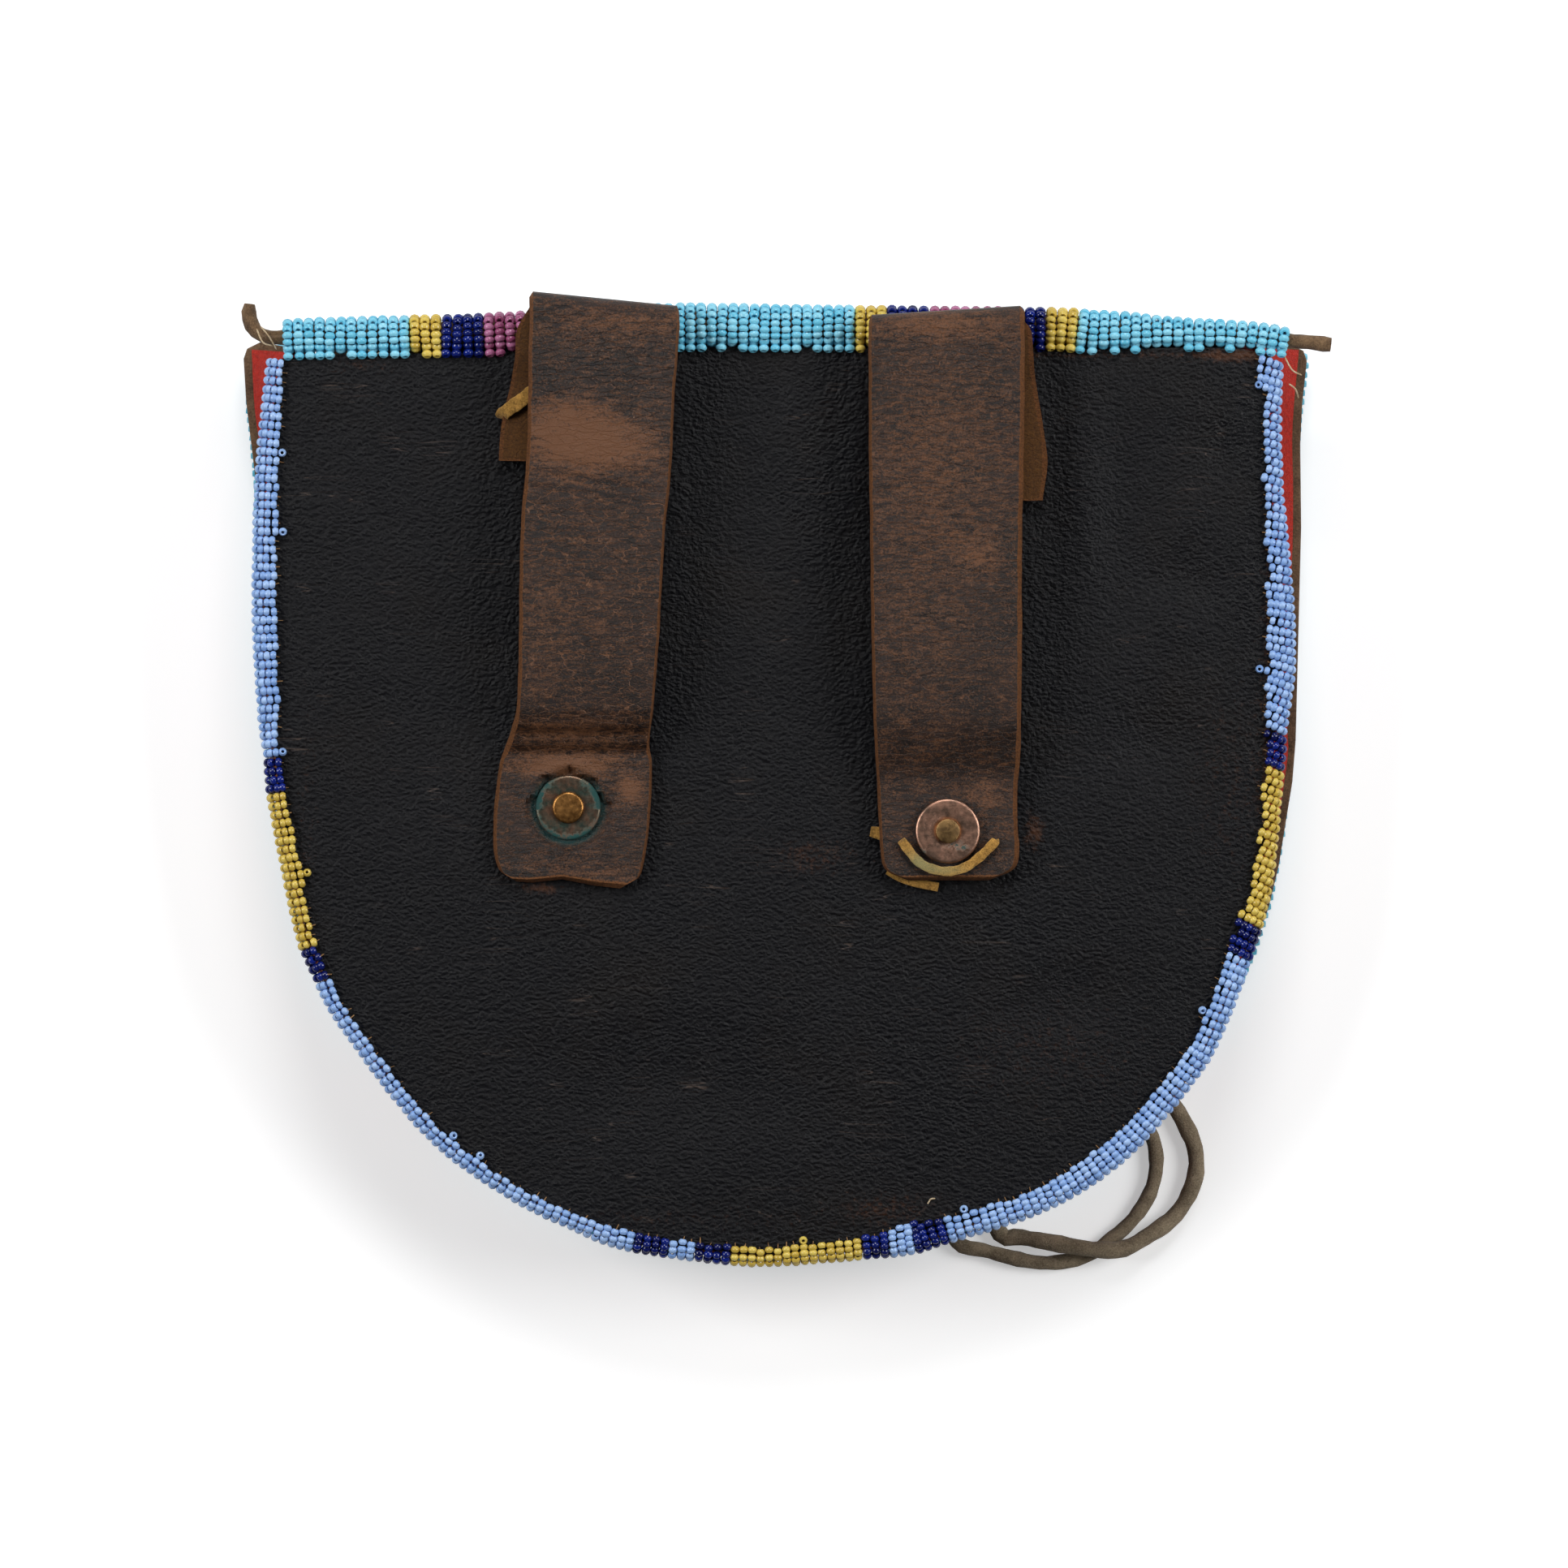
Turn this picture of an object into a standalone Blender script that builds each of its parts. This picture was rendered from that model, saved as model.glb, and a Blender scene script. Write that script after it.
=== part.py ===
"""Beaded belt pouch, lying face down with its belt loops up. Metres, +Z up, top edge at +Y."""

import math

import bmesh
import bpy
import numpy
from mathutils import Vector

# Clearance between pieces that touch
CLEAR = 0.0003

# Plan size: from the middle to the edging, and from the roll's axis to the lowest edging
HALF_WIDTH = 0.0985
DEPTH = 0.1778
ROLL_Y = 0.0858

# Layers, from the beads that it lies on up to the back panel
FLAP_BEADS = 0.0017
FLAP_HIDE = 0.0014
FRONT_BEADS = 0.0017
FRONT_HIDE = 0.0015
POUCH_ROOM = 0.0150
PANEL_LEATHER = 0.0025
LANE_WIDTH = 0.0125
LANE_VALLEY = 0.0022
LANE_SINK = 0.0005

# Bead edging along the U, and beads round the top fold
EDGE_BEAD = 0.0017
EDGE_LAP = 0.0024
ROLL_BEAD_SINK = 0.00035
CORE_CLEAR = 0.0003
CORE_RADIUS = 0.00135

# Gusset
GUSSET_WOOL = 0.0014
GUSSET_SEAM_FRONT = 0.0016
GUSSET_SEAM_BACK = 0.0020
GUSSET_FOLD = 0.0040

# Flap: how far its sides stay inside the pouch's, its length from the roll
FLAP_SIDE_GAP = 0.0105
FLAP_HALF_WIDTH = HALF_WIDTH - FLAP_SIDE_GAP
FLAP_REACH = 0.1158
FLAP_BULGE = 0.0006
TIP_HALF_WIDTH = 0.012
MOUTH_DROP = 0.0105
MOUTH_EAR = 0.0032

# Belt loops: strap section, and the room that they leave for a belt
STRAP = 0.0022
BELT_ROOM = 0.0078
LEFT_LOOP_X = -0.0338
LEFT_LOOP_WIDTH = 0.0281
LEFT_BACK_RUN = 0.0257
LEFT_RIVET_X = -0.0407
LEFT_RIVET_DROP = 0.0910
LEFT_LAP = 0.0146
RIGHT_LOOP_X = 0.0304
RIGHT_LOOP_WIDTH = 0.0292
RIGHT_BACK_RUN = 0.0337
RIGHT_RIVET_X = 0.0307
RIGHT_RIVET_DROP = 0.0954
RIGHT_LAP = 0.0093
RIGHT_LIFT = 0.0015

# Rivets and burrs
SHANK_RADIUS = 0.00235
PEEN_RADIUS = 0.0029
HEAD_RADIUS = 0.0055
HEAD = 0.0010
BURR_RADIUS = 0.0061
BURR = 0.0009
FIT = 0.00018
SINK_RADIUS = 0.0068
SINK_FLOOR = 0.0008

# Laces and tie thongs
LACE_RADIUS = 0.0006
LACE_HOLE = 0.0010
THONG_A_RADIUS = 0.0014
THONG_B_RADIUS = 0.0016
KNOT_X = 0.0100
KNOT_BELOW_FLAP = 0.0120
KNOT_RADIUS = 0.0035
KNOT_STEM = 0.0014
KNOT_INNER = 0.0020

# Levels that follow from the layers
FLAP_LOW = FLAP_BEADS + CLEAR
FRONT_LOW = FLAP_LOW + FLAP_HIDE + CLEAR
HIDE_LOW = FRONT_LOW + FRONT_BEADS + CLEAR
HIDE_TOP = HIDE_LOW + FRONT_HIDE
PANEL_LOW = HIDE_TOP + POUCH_ROOM
PANEL_TOP = PANEL_LOW + PANEL_LEATHER
ROLL_Z = PANEL_LOW + PANEL_LEATHER / 2
PANEL_INSET = EDGE_BEAD + 3 * CLEAR
STRAP_LOW = PANEL_TOP + CLEAR + STRAP / 2
STRAP_HIGH = PANEL_TOP + BELT_ROOM + STRAP / 2
KNOT_Y = ROLL_Y - FLAP_REACH - KNOT_BELOW_FLAP

# Colours, roughness, metallic
BLACK_LEATHER = (0.012, 0.012, 0.014), 0.45, 0.0
BROWN_LEATHER = (0.045, 0.024, 0.015), 0.6, 0.0
HIDE = (0.12, 0.07, 0.04), 0.85, 0.0
RED_WOOL = (0.39, 0.01, 0.005), 0.95, 0.0
BUCKSKIN = (0.26, 0.20, 0.12), 0.9, 0.0
YELLOW_BUCKSKIN = (0.56, 0.32, 0.07), 0.9, 0.0
COPPER = (0.40, 0.18, 0.10), 0.4, 1.0
TURQUOISE = (0.15, 0.55, 0.73), 0.2, 0.0
BLUE = (0.27, 0.45, 0.79), 0.25, 0.0
NAVY = (0.005, 0.01, 0.15), 0.15, 0.0
YELLOW = (0.69, 0.51, 0.09), 0.25, 0.0
PINK = (0.39, 0.11, 0.24), 0.25, 0.0
COLOURS = {"turquoise": TURQUOISE, "blue": BLUE, "navy": NAVY, "yellow": YELLOW, "pink": PINK}

# Bead blocks in order: colour and how many rows or columns of beads
EDGING_BLOCKS = [
    ("blue", 45), ("navy", 4), ("yellow", 18), ("navy", 4), ("blue", 48), ("navy", 4),
    ("blue", 3), ("navy", 4), ("yellow", 15), ("navy", 3), ("blue", 3), ("navy", 4),
    ("blue", 49), ("navy", 4), ("yellow", 18), ("navy", 4), ("blue", 42),
]
ROLL_BLOCKS = [
    ("turquoise", 12), ("yellow", 3), ("navy", 4), ("pink", 7), ("navy", 4), ("yellow", 3),
    ("turquoise", 21), ("yellow", 3), ("navy", 4), ("pink", 7), ("navy", 4), ("yellow", 3),
    ("turquoise", 20),
]

# The roll's line: share of the half width, how far it drops below the axis, its radius
ROLL_LINE = [
    (-0.960, 0.0023, 0.0035), (-0.830, 0.0019, 0.0036), (-0.570, 0.0014, 0.0038),
    (-0.240, 0.0000, 0.0042), (0.070, 0.0002, 0.0041), (0.500, 0.0003, 0.0038),
    (0.590, 0.0009, 0.0039), (0.675, 0.0010, 0.0035), (0.755, 0.0013, 0.0029),
    (0.875, 0.0017, 0.0027), (0.965, 0.0029, 0.0026),
]

# The edging's outer border down the left, round and up the right: share of the half width,
# share of the depth, width of the bead band, how far the front's hide and its beads reach out
EDGE_LINE = [
    (-0.993, 0.036, 0.0041, 0.0054, 0.0046), (-1.004, 0.086, 0.0046, 0.0037, 0.0041),
    (-1.016, 0.163, 0.0052, 0.0007, 0.0013), (-1.021, 0.258, 0.0054, -0.0003, 0.0008),
    (-1.019, 0.344, 0.0054, -0.0003, 0.0008), (-1.009, 0.421, 0.0046, -0.0003, 0.0008),
    (-1.000, 0.455, 0.0038, -0.0004, 0.0008), (-0.992, 0.503, 0.0044, -0.0004, 0.0007),
    (-0.957, 0.602, 0.0044, -0.0004, 0.0007), (-0.934, 0.657, 0.0039, -0.0004, 0.0006),
    (-0.907, 0.691, 0.0037, -0.0005, 0.0005), (-0.861, 0.740, 0.0037, -0.0006, -0.0002),
    (-0.693, 0.860, 0.0037, -0.0007, -0.0003), (-0.538, 0.925, 0.0038, -0.0007, -0.0003),
    (-0.414, 0.960, 0.0040, -0.0007, -0.0003), (-0.306, 0.983, 0.0045, -0.0007, -0.0003),
    (-0.127, 0.997, 0.0043, -0.0007, -0.0003), (-0.025, 1.000, 0.0044, -0.0007, -0.0003),
    (0.136, 0.993, 0.0048, -0.0007, -0.0003), (0.247, 0.987, 0.0067, -0.0007, -0.0003),
    (0.313, 0.976, 0.0057, -0.0007, -0.0003), (0.504, 0.941, 0.0055, -0.0007, -0.0003),
    (0.658, 0.886, 0.0058, -0.0006, -0.0002), (0.792, 0.801, 0.0055, -0.0005, -0.0002),
    (0.845, 0.749, 0.0052, -0.0003, 0.0002), (0.898, 0.671, 0.0056, 0.0005, 0.0014),
    (0.937, 0.593, 0.0047, 0.0013, 0.0017), (0.960, 0.465, 0.0045, 0.0028, 0.0027),
    (0.965, 0.427, 0.0048, 0.0024, 0.0020), (0.980, 0.370, 0.0060, 0.0013, 0.0007),
    (0.980, 0.309, 0.0060, 0.0014, 0.0008), (0.969, 0.232, 0.0050, 0.0031, 0.0025),
    (0.957, 0.172, 0.0041, 0.0043, 0.0038), (0.954, 0.103, 0.0040, 0.0045, 0.0048),
    (0.957, 0.044, 0.0052, 0.0054, 0.0060),
]


def clear_scene():
    for obj in list(bpy.data.objects):
        bpy.data.objects.remove(obj, do_unlink=True)


def material(name, look):
    """One named Principled material, made once."""
    found = bpy.data.materials.get(name)
    if found:
        return found
    colour, roughness, metallic = look
    made = bpy.data.materials.new(name)
    made.use_nodes = True
    shader = made.node_tree.nodes["Principled BSDF"]
    shader.inputs["Base Color"].default_value = (*colour, 1.0)
    shader.inputs["Roughness"].default_value = roughness
    shader.inputs["Metallic"].default_value = metallic
    return made


def add_solid(name, points, faces, look, origin=(0, 0, 0)):
    """A mesh object from corners and faces, its faces turned outwards."""
    mesh = bpy.data.meshes.new(name)
    mesh.from_pydata([tuple(Vector(p) - Vector(origin)) for p in points], [], faces)
    work = bmesh.new()
    work.from_mesh(mesh)
    bmesh.ops.recalc_face_normals(work, faces=work.faces)
    work.to_mesh(mesh)
    work.free()
    mesh.materials.append(material(name.rstrip("0123456789_"), look))
    obj = bpy.data.objects.new(name, mesh)
    obj.location = origin
    bpy.context.scene.collection.objects.link(obj)
    return obj


def smooth_line(rows, count, measured=2):
    """Evenly spaced rows on the smooth curve through the given ones."""
    rows = numpy.array(rows, float)
    ends = numpy.vstack([2 * rows[0] - rows[1], rows, 2 * rows[-1] - rows[-2]])
    fine = []
    for i in range(1, len(rows)):
        a, b, c, d = ends[i - 1:i + 3]
        for t in numpy.arange(0, 1, 1 / 12):
            bend = (2 * a - 5 * b + 4 * c - d) * t + (3 * b - a - 3 * c + d) * t * t
            fine.append(b + 0.5 * t * ((c - a) + bend))
    fine = numpy.array(fine + [rows[-1]])
    steps = numpy.linalg.norm(numpy.diff(fine[:, :measured], axis=0), axis=1)
    run = numpy.concatenate([[0], numpy.cumsum(steps)])
    even = numpy.linspace(0, run[-1], count)
    return numpy.column_stack([numpy.interp(even, run, column) for column in fine.T])


def with_normals(line):
    """The rows of a plan curve with the unit normal on its right side added."""
    along = numpy.gradient(line[:, :2], axis=0)
    along /= numpy.linalg.norm(along, axis=1)[:, None]
    return numpy.column_stack([line, along[:, 1], -along[:, 0]])


def roll_at(x):
    """Centre y and radius of the bead roll at x."""
    table = numpy.array(ROLL_LINE)
    places = table[:, 0] * HALF_WIDTH
    return ROLL_Y - numpy.interp(x, places, table[:, 1]), numpy.interp(x, places, table[:, 2])


def top_edge_y(x):
    """Where leather and edging stop below the roll."""
    centre, radius = roll_at(x)
    return centre - radius - CLEAR


def edge_stations(count):
    """Rows along the U: x, y, band, hide reach, bead reach, outward normal."""
    rows = [[x * HALF_WIDTH, ROLL_Y - y * DEPTH, *rest] for x, y, *rest in EDGE_LINE]
    for row in (rows[0], rows[-1]):
        row[1] = top_edge_y(row[0])
    return with_normals(smooth_line(rows, count))


def inset(stations, distance):
    """Plan points of the U moved inwards by a distance or one distance for each station."""
    return stations[:, :2] - stations[:, 5:7] * numpy.reshape(distance, (-1, 1))


def prism(name, outline, low, high, look):
    """A plate with the given plan outline between two levels."""
    count = len(outline)
    points = [(x, y, low) for x, y in outline] + [(x, y, high) for x, y in outline]
    faces = [tuple(range(count)), tuple(range(count, 2 * count))]
    for i in range(count):
        j = (i + 1) % count
        faces.append((i, j, count + j, count + i))
    return add_solid(name, points, faces, look)


def ring_strip(name, rings, look, origin=(0, 0, 0)):
    """One closed solid through rings with the same number of corners, capped at both ends."""
    size = len(rings[0])
    points = [tuple(p) for ring in rings for p in ring]
    faces = [tuple(range(size)), tuple(range(len(points) - size, len(points)))]
    for i in range(len(rings) - 1):
        for k in range(size):
            m = (k + 1) % size
            a, b = i * size, (i + 1) * size
            faces.append((a + k, a + m, b + m, b + k))
    return add_solid(name, points, faces, look, origin)


def turned(name, x, y, profile, look, segments=24):
    """A solid of revolution about a vertical axis from (radius, z) corners, bottom to top."""
    rings = []
    for k in range(segments):
        angle = 2 * math.pi * k / segments
        rings.append([(x + r * math.cos(angle), y + r * math.sin(angle), z) for r, z in profile])
    size = len(profile)
    points = [p for ring in rings for p in ring]
    faces = []
    for k in range(segments):
        m = (k + 1) % segments
        for i in range(size):
            j = (i + 1) % size
            faces.append((k * size + i, m * size + i, m * size + j, k * size + j))
    solid = add_solid(name, points, faces, look)
    work = bmesh.new()
    work.from_mesh(solid.data)
    bmesh.ops.remove_doubles(work, verts=work.verts, dist=1e-6)
    bmesh.ops.recalc_face_normals(work, faces=work.faces)
    work.to_mesh(solid.data)
    work.free()
    solid.data.shade_smooth()
    solid.data.set_sharp_from_angle(angle=math.radians(35))
    return solid


def tube(name, route, radius, count, look):
    """A round lace or thong on a smooth route through hand-chosen points, in metres."""
    curve = bpy.data.curves.new(name, "CURVE")
    curve.dimensions = "3D"
    curve.bevel_depth = radius
    curve.bevel_resolution = 2
    curve.use_fill_caps = True
    spline = curve.splines.new("POLY")
    line = smooth_line(route, count, 3)
    spline.points.add(count - 1)
    for point, place in zip(spline.points, line):
        point.co = (*place, 1.0)
    curve.materials.append(material(name, look))
    obj = bpy.data.objects.new(name, curve)
    bpy.context.scene.collection.objects.link(obj)
    return obj


def cut_round(obj, x, y, radius, low, high):
    """Cuts a round hole between two levels."""
    cutter = turned(
        obj.name + "_cutter", x, y, [(0, low), (radius, low), (radius, high), (0, high)], HIDE, 20
    )
    cutter.hide_render = True
    cutter.display_type = "WIRE"
    cut = obj.modifiers.new("hole", "BOOLEAN")
    cut.operation = "DIFFERENCE"
    cut.object = cutter


def back_panel(stations):
    """Black leather panel, its top edge following the roll, drilled for the rivets."""
    sides = inset(stations, PANEL_INSET)
    sides[0, 1] = top_edge_y(sides[0, 0])
    sides[-1, 1] = top_edge_y(sides[-1, 0])
    top_x = numpy.linspace(sides[-1, 0], sides[0, 0], 14)[1:-1]
    top = [(x, top_edge_y(x)) for x in top_x]
    panel = prism("back_panel", [*sides, *top], PANEL_LOW, PANEL_TOP, BLACK_LEATHER)
    for x, drop in ((LEFT_RIVET_X, LEFT_RIVET_DROP), (RIGHT_RIVET_X, RIGHT_RIVET_DROP)):
        cut_round(panel, x, ROLL_Y - drop, SHANK_RADIUS + FIT, PANEL_LOW - HEAD, PANEL_TOP + HEAD)


def front_outline(stations, reach):
    """The front's outline: the U pushed out, an ear at each top corner and a straight mouth."""
    sides = inset(stations, -reach)
    right, left = sides[-1], sides[0]
    mouth = ROLL_Y - MOUTH_DROP
    beside = FLAP_HALF_WIDTH + 4 * CLEAR
    top = [
        (right[0] - 0.2 * MOUTH_EAR, right[1] + 0.6 * MOUTH_EAR), (right[0] - MOUTH_EAR, right[1] + MOUTH_EAR),
        (beside + CLEAR, right[1] + 0.4 * MOUTH_EAR), (beside, mouth), (-beside, mouth),
        (-beside - CLEAR, left[1] + 0.4 * MOUTH_EAR),
        (left[0] + MOUTH_EAR, left[1] + MOUTH_EAR), (left[0] + 0.2 * MOUTH_EAR, left[1] + 0.6 * MOUTH_EAR),
    ]
    return [*sides, *top]


def front_panel(stations):
    panel = prism("front_panel", front_outline(stations, stations[:, 3]), HIDE_LOW, HIDE_TOP, HIDE)
    cut_round(panel, KNOT_X, KNOT_Y, KNOT_STEM + CLEAR, HIDE_LOW - HEAD, HIDE_TOP + HEAD)


def groove_lanes(obj, low, half_width):
    """Parts the beadwork's underside into lanes, each a flat strip between two shallow valleys."""
    work = bmesh.new()
    work.from_mesh(obj.data)
    lanes = int(half_width / LANE_WIDTH) + 1
    for i in range(-lanes, lanes + 1):
        for shift in (-LANE_VALLEY / 2, 0, LANE_VALLEY / 2):
            everything = [*work.verts, *work.edges, *work.faces]
            place = (i * LANE_WIDTH + shift, 0, 0)
            bmesh.ops.bisect_plane(work, geom=everything, dist=1e-7, plane_co=place, plane_no=(1, 0, 0))
    for vert in work.verts:
        across = abs(vert.co.x / LANE_WIDTH - round(vert.co.x / LANE_WIDTH)) * LANE_WIDTH
        if abs(vert.co.z - low) < 1e-6 and across < 1e-6:
            vert.co.z += LANE_SINK
    work.to_mesh(obj.data)
    work.free()


def front_beadwork(stations):
    """Lane-stitched beads sewn to the front's outer face."""
    outline = front_outline(stations, stations[:, 4])
    beads = prism("front_beadwork", outline, FRONT_LOW, FRONT_LOW + FRONT_BEADS, TURQUOISE)
    groove_lanes(beads, FRONT_LOW, HALF_WIDTH)
    cut_round(beads, KNOT_X, KNOT_Y, KNOT_STEM + CLEAR, FRONT_LOW - HEAD, HIDE_LOW)


def gusset(stations):
    """Red wool strip between front and back, folded inwards."""
    low, high = HIDE_TOP + CLEAR, PANEL_LOW - CLEAR
    half = GUSSET_WOOL / 2
    front = GUSSET_SEAM_FRONT + half - stations[:, 3]
    back = PANEL_INSET + GUSSET_SEAM_BACK + 0 * front
    fold = numpy.maximum(front, back) + GUSSET_FOLD
    middle = (low + high) / 2
    section = [
        (front - half, low), (fold - half, middle), (back - half, high),
        (back + half, high), (fold + half, middle), (front + half, low),
    ]
    sides = [(inset(stations, distance), z) for distance, z in section]
    rings = [[(*line[i], z) for line, z in sides] for i in range(len(stations))]
    ring_strip("gusset", rings, RED_WOOL)


def edging():
    """Bead edging wrapped over the panel's edge: one ridge for each row of beads, in colour blocks."""
    rows = sum(count for _, count in EDGING_BLOCKS)
    stations = edge_stations(2 * rows + 1)
    first = 0
    for number, (colour, count) in enumerate(EDGING_BLOCKS, 1):
        block = stations[2 * first:2 * (first + count) + 1].copy()
        trim(block)
        edging_block(f"edging_{number:02d}_{colour}", block, COLOURS[colour])
        first += count


def trim(block):
    """Draws the first and last station in by half a clearance."""
    for end, inner in ((0, 1), (-1, -2)):
        step = block[inner, :2] - block[end, :2]
        block[end, :2] += step / numpy.linalg.norm(step) * CLEAR / 2


def edging_block(name, block, look):
    """A C-shaped band whose top, side and underside rise at each row's middle."""
    band = block[:, 2]
    tip, crest, shoulder, keel, heel, corner = (
        inset(block, band), inset(block, band - 0.4 * EDGE_BEAD), inset(block, 0.05 * EDGE_BEAD),
        inset(block, 0.3 * EDGE_BEAD), inset(block, EDGE_LAP), inset(block, EDGE_BEAD),
    )
    low_tip, low_heel = PANEL_TOP + CLEAR / 2, PANEL_LOW - CLEAR
    top, side, under = PANEL_TOP + 0.95 * EDGE_BEAD, PANEL_TOP + 0.15 * EDGE_BEAD, PANEL_LOW - 0.65 * EDGE_BEAD
    sunk = 0.2 * EDGE_BEAD
    points, faces = [], []
    for i in range(0, len(block), 2):
        pull = -block[i, 5:7] * sunk
        points += [
            (*tip[i], low_tip), (*crest[i], top - sunk), (*(shoulder[i] + pull), side - sunk / 2),
            (*(keel[i] + pull), under + sunk), (*heel[i], low_heel), (*corner[i], low_tip),
        ]
        if i + 1 < len(block):
            points += [(*crest[i + 1], top), (*shoulder[i + 1], side), (*keel[i + 1], under)]
    last = len(points) - 6
    for a in range(0, last, 9):
        b = a + 9
        faces += [
            (a, a + 6, b), (a, a + 1, a + 6), (a + 6, b + 1, b),
            (a + 1, a + 2, a + 7, a + 6), (a + 6, a + 7, b + 2, b + 1),
            (a + 2, a + 3, a + 8, a + 7), (a + 7, a + 8, b + 3, b + 2),
            (a + 3, a + 4, a + 8), (a + 8, a + 4, b + 4), (a + 8, b + 4, b + 3),
            (a + 4, a + 5, b + 5, b + 4), (a + 5, a, b, b + 5),
        ]
    faces += [tuple(range(6)), tuple(range(last, last + 6))]
    add_solid(name, points, faces, look)


def roll_stations(count):
    """Rows along the roll: x, y, radius, and the direction across it."""
    rows = [(x * HALF_WIDTH, ROLL_Y - drop, radius) for x, drop, radius in ROLL_LINE]
    return with_normals(smooth_line(rows, count))


def roll():
    """Beads wound round the top fold: one ring of beads a column, in colour blocks."""
    columns = sum(count for _, count in ROLL_BLOCKS)
    stations = roll_stations(2 * columns + 1)
    first = 0
    for number, (colour, count) in enumerate(ROLL_BLOCKS, 1):
        block = stations[2 * first:2 * (first + count) + 1].copy()
        trim(block)
        roll_block(f"roll_{number:02d}_{colour}", block, COLOURS[colour])
        first += count


def ring_round(station, radius, corners):
    """Corners of a ring about the roll's line at a station."""
    x, y, _, across_x, across_y = station
    ring = []
    for k in range(corners):
        angle = 2 * math.pi * (k + 0.5) / corners
        out, up = radius * math.cos(angle), radius * math.sin(angle)
        ring.append((x + across_x * out, y + across_y * out, ROLL_Z + up))
    return ring


def roll_block(name, block, look):
    """A ridged tube round the core."""
    corners = 8
    bore = CORE_RADIUS + CORE_CLEAR
    rings = []
    for i, station in enumerate(block):
        sink = ROLL_BEAD_SINK if i % 2 == 0 else 0
        rings.append(ring_round(station, station[2] - sink, corners))
    for i in numpy.linspace(len(block) - 1, 0, 2 + len(block) // 9).round().astype(int):
        rings.append(ring_round(block[i], bore, corners))
    points = [p for ring in rings for p in ring]
    faces = []
    for i in range(len(rings)):
        j = (i + 1) % len(rings)
        for k in range(corners):
            m = (k + 1) % corners
            faces.append((i * corners + k, i * corners + m, j * corners + m, j * corners + k))
    add_solid(name, points, faces, look)


def roll_core():
    """The thong inside the roll, its left end curling up and its right end straight."""
    left, right = ROLL_LINE[0][0] * HALF_WIDTH, ROLL_LINE[-1][0] * HALF_WIDTH
    left_y, right_y = roll_at(left)[0], roll_at(right)[0]
    route = [
        (left - 0.0062, left_y + 0.0063, ROLL_Z), (left - 0.0064, left_y + 0.0040, ROLL_Z),
        (left - 0.0052, left_y + 0.0012, ROLL_Z), (left - 0.0026, left_y, ROLL_Z),
        (left, left_y, ROLL_Z),
    ]
    for x, y, *_ in roll_stations(34)[1:-1]:
        route.append((x, y, ROLL_Z))
    route += [(right, right_y, ROLL_Z), (right + 0.0038, right_y - 0.0003, ROLL_Z)]
    route.append((right + 0.0080, right_y - 0.0008, ROLL_Z))
    tube("roll_core", route, CORE_RADIUS, 56, HIDE)


def sheet_rings(rows, thickness):
    """Corner rings of a sheet from rows of left y, right y, z, left x, right x along its length."""
    rows = numpy.array(rows)
    middle = numpy.column_stack([(rows[:, 0] + rows[:, 1]) / 2, rows[:, 2]])
    along = numpy.gradient(middle, axis=0)
    along /= numpy.linalg.norm(along, axis=1)[:, None]
    rings = []
    for (y_left, y_right, z, x_left, x_right), (ay, az) in zip(rows, along):
        up_y, up_z = az * thickness / 2, -ay * thickness / 2
        rings.append([
            (x_left, y_left + up_y, z + up_z), (x_right, y_right + up_y, z + up_z),
            (x_right, y_right - up_y, z - up_z), (x_left, y_left - up_y, z - up_z),
        ])
    return rings


def over_roll(left, right):
    """Level of a strap's middle where it passes over the roll."""
    places = numpy.linspace(left, right, 9)
    return ROLL_Z + roll_at(places)[1].max() + CLEAR + STRAP / 2


def fold_rows(y_left, y_right, low, x_left, x_right):
    """The half turn at a loop's top, from the back run to the front run."""
    rows = []
    radius = (STRAP_HIGH - low) / 2
    for degrees in range(-75, 90, 30):
        angle = math.radians(degrees)
        out = radius * math.cos(angle)
        z = low + radius + radius * math.sin(angle)
        rows.append((y_left + out, y_right + out, z, x_left, x_right))
    return rows


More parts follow.
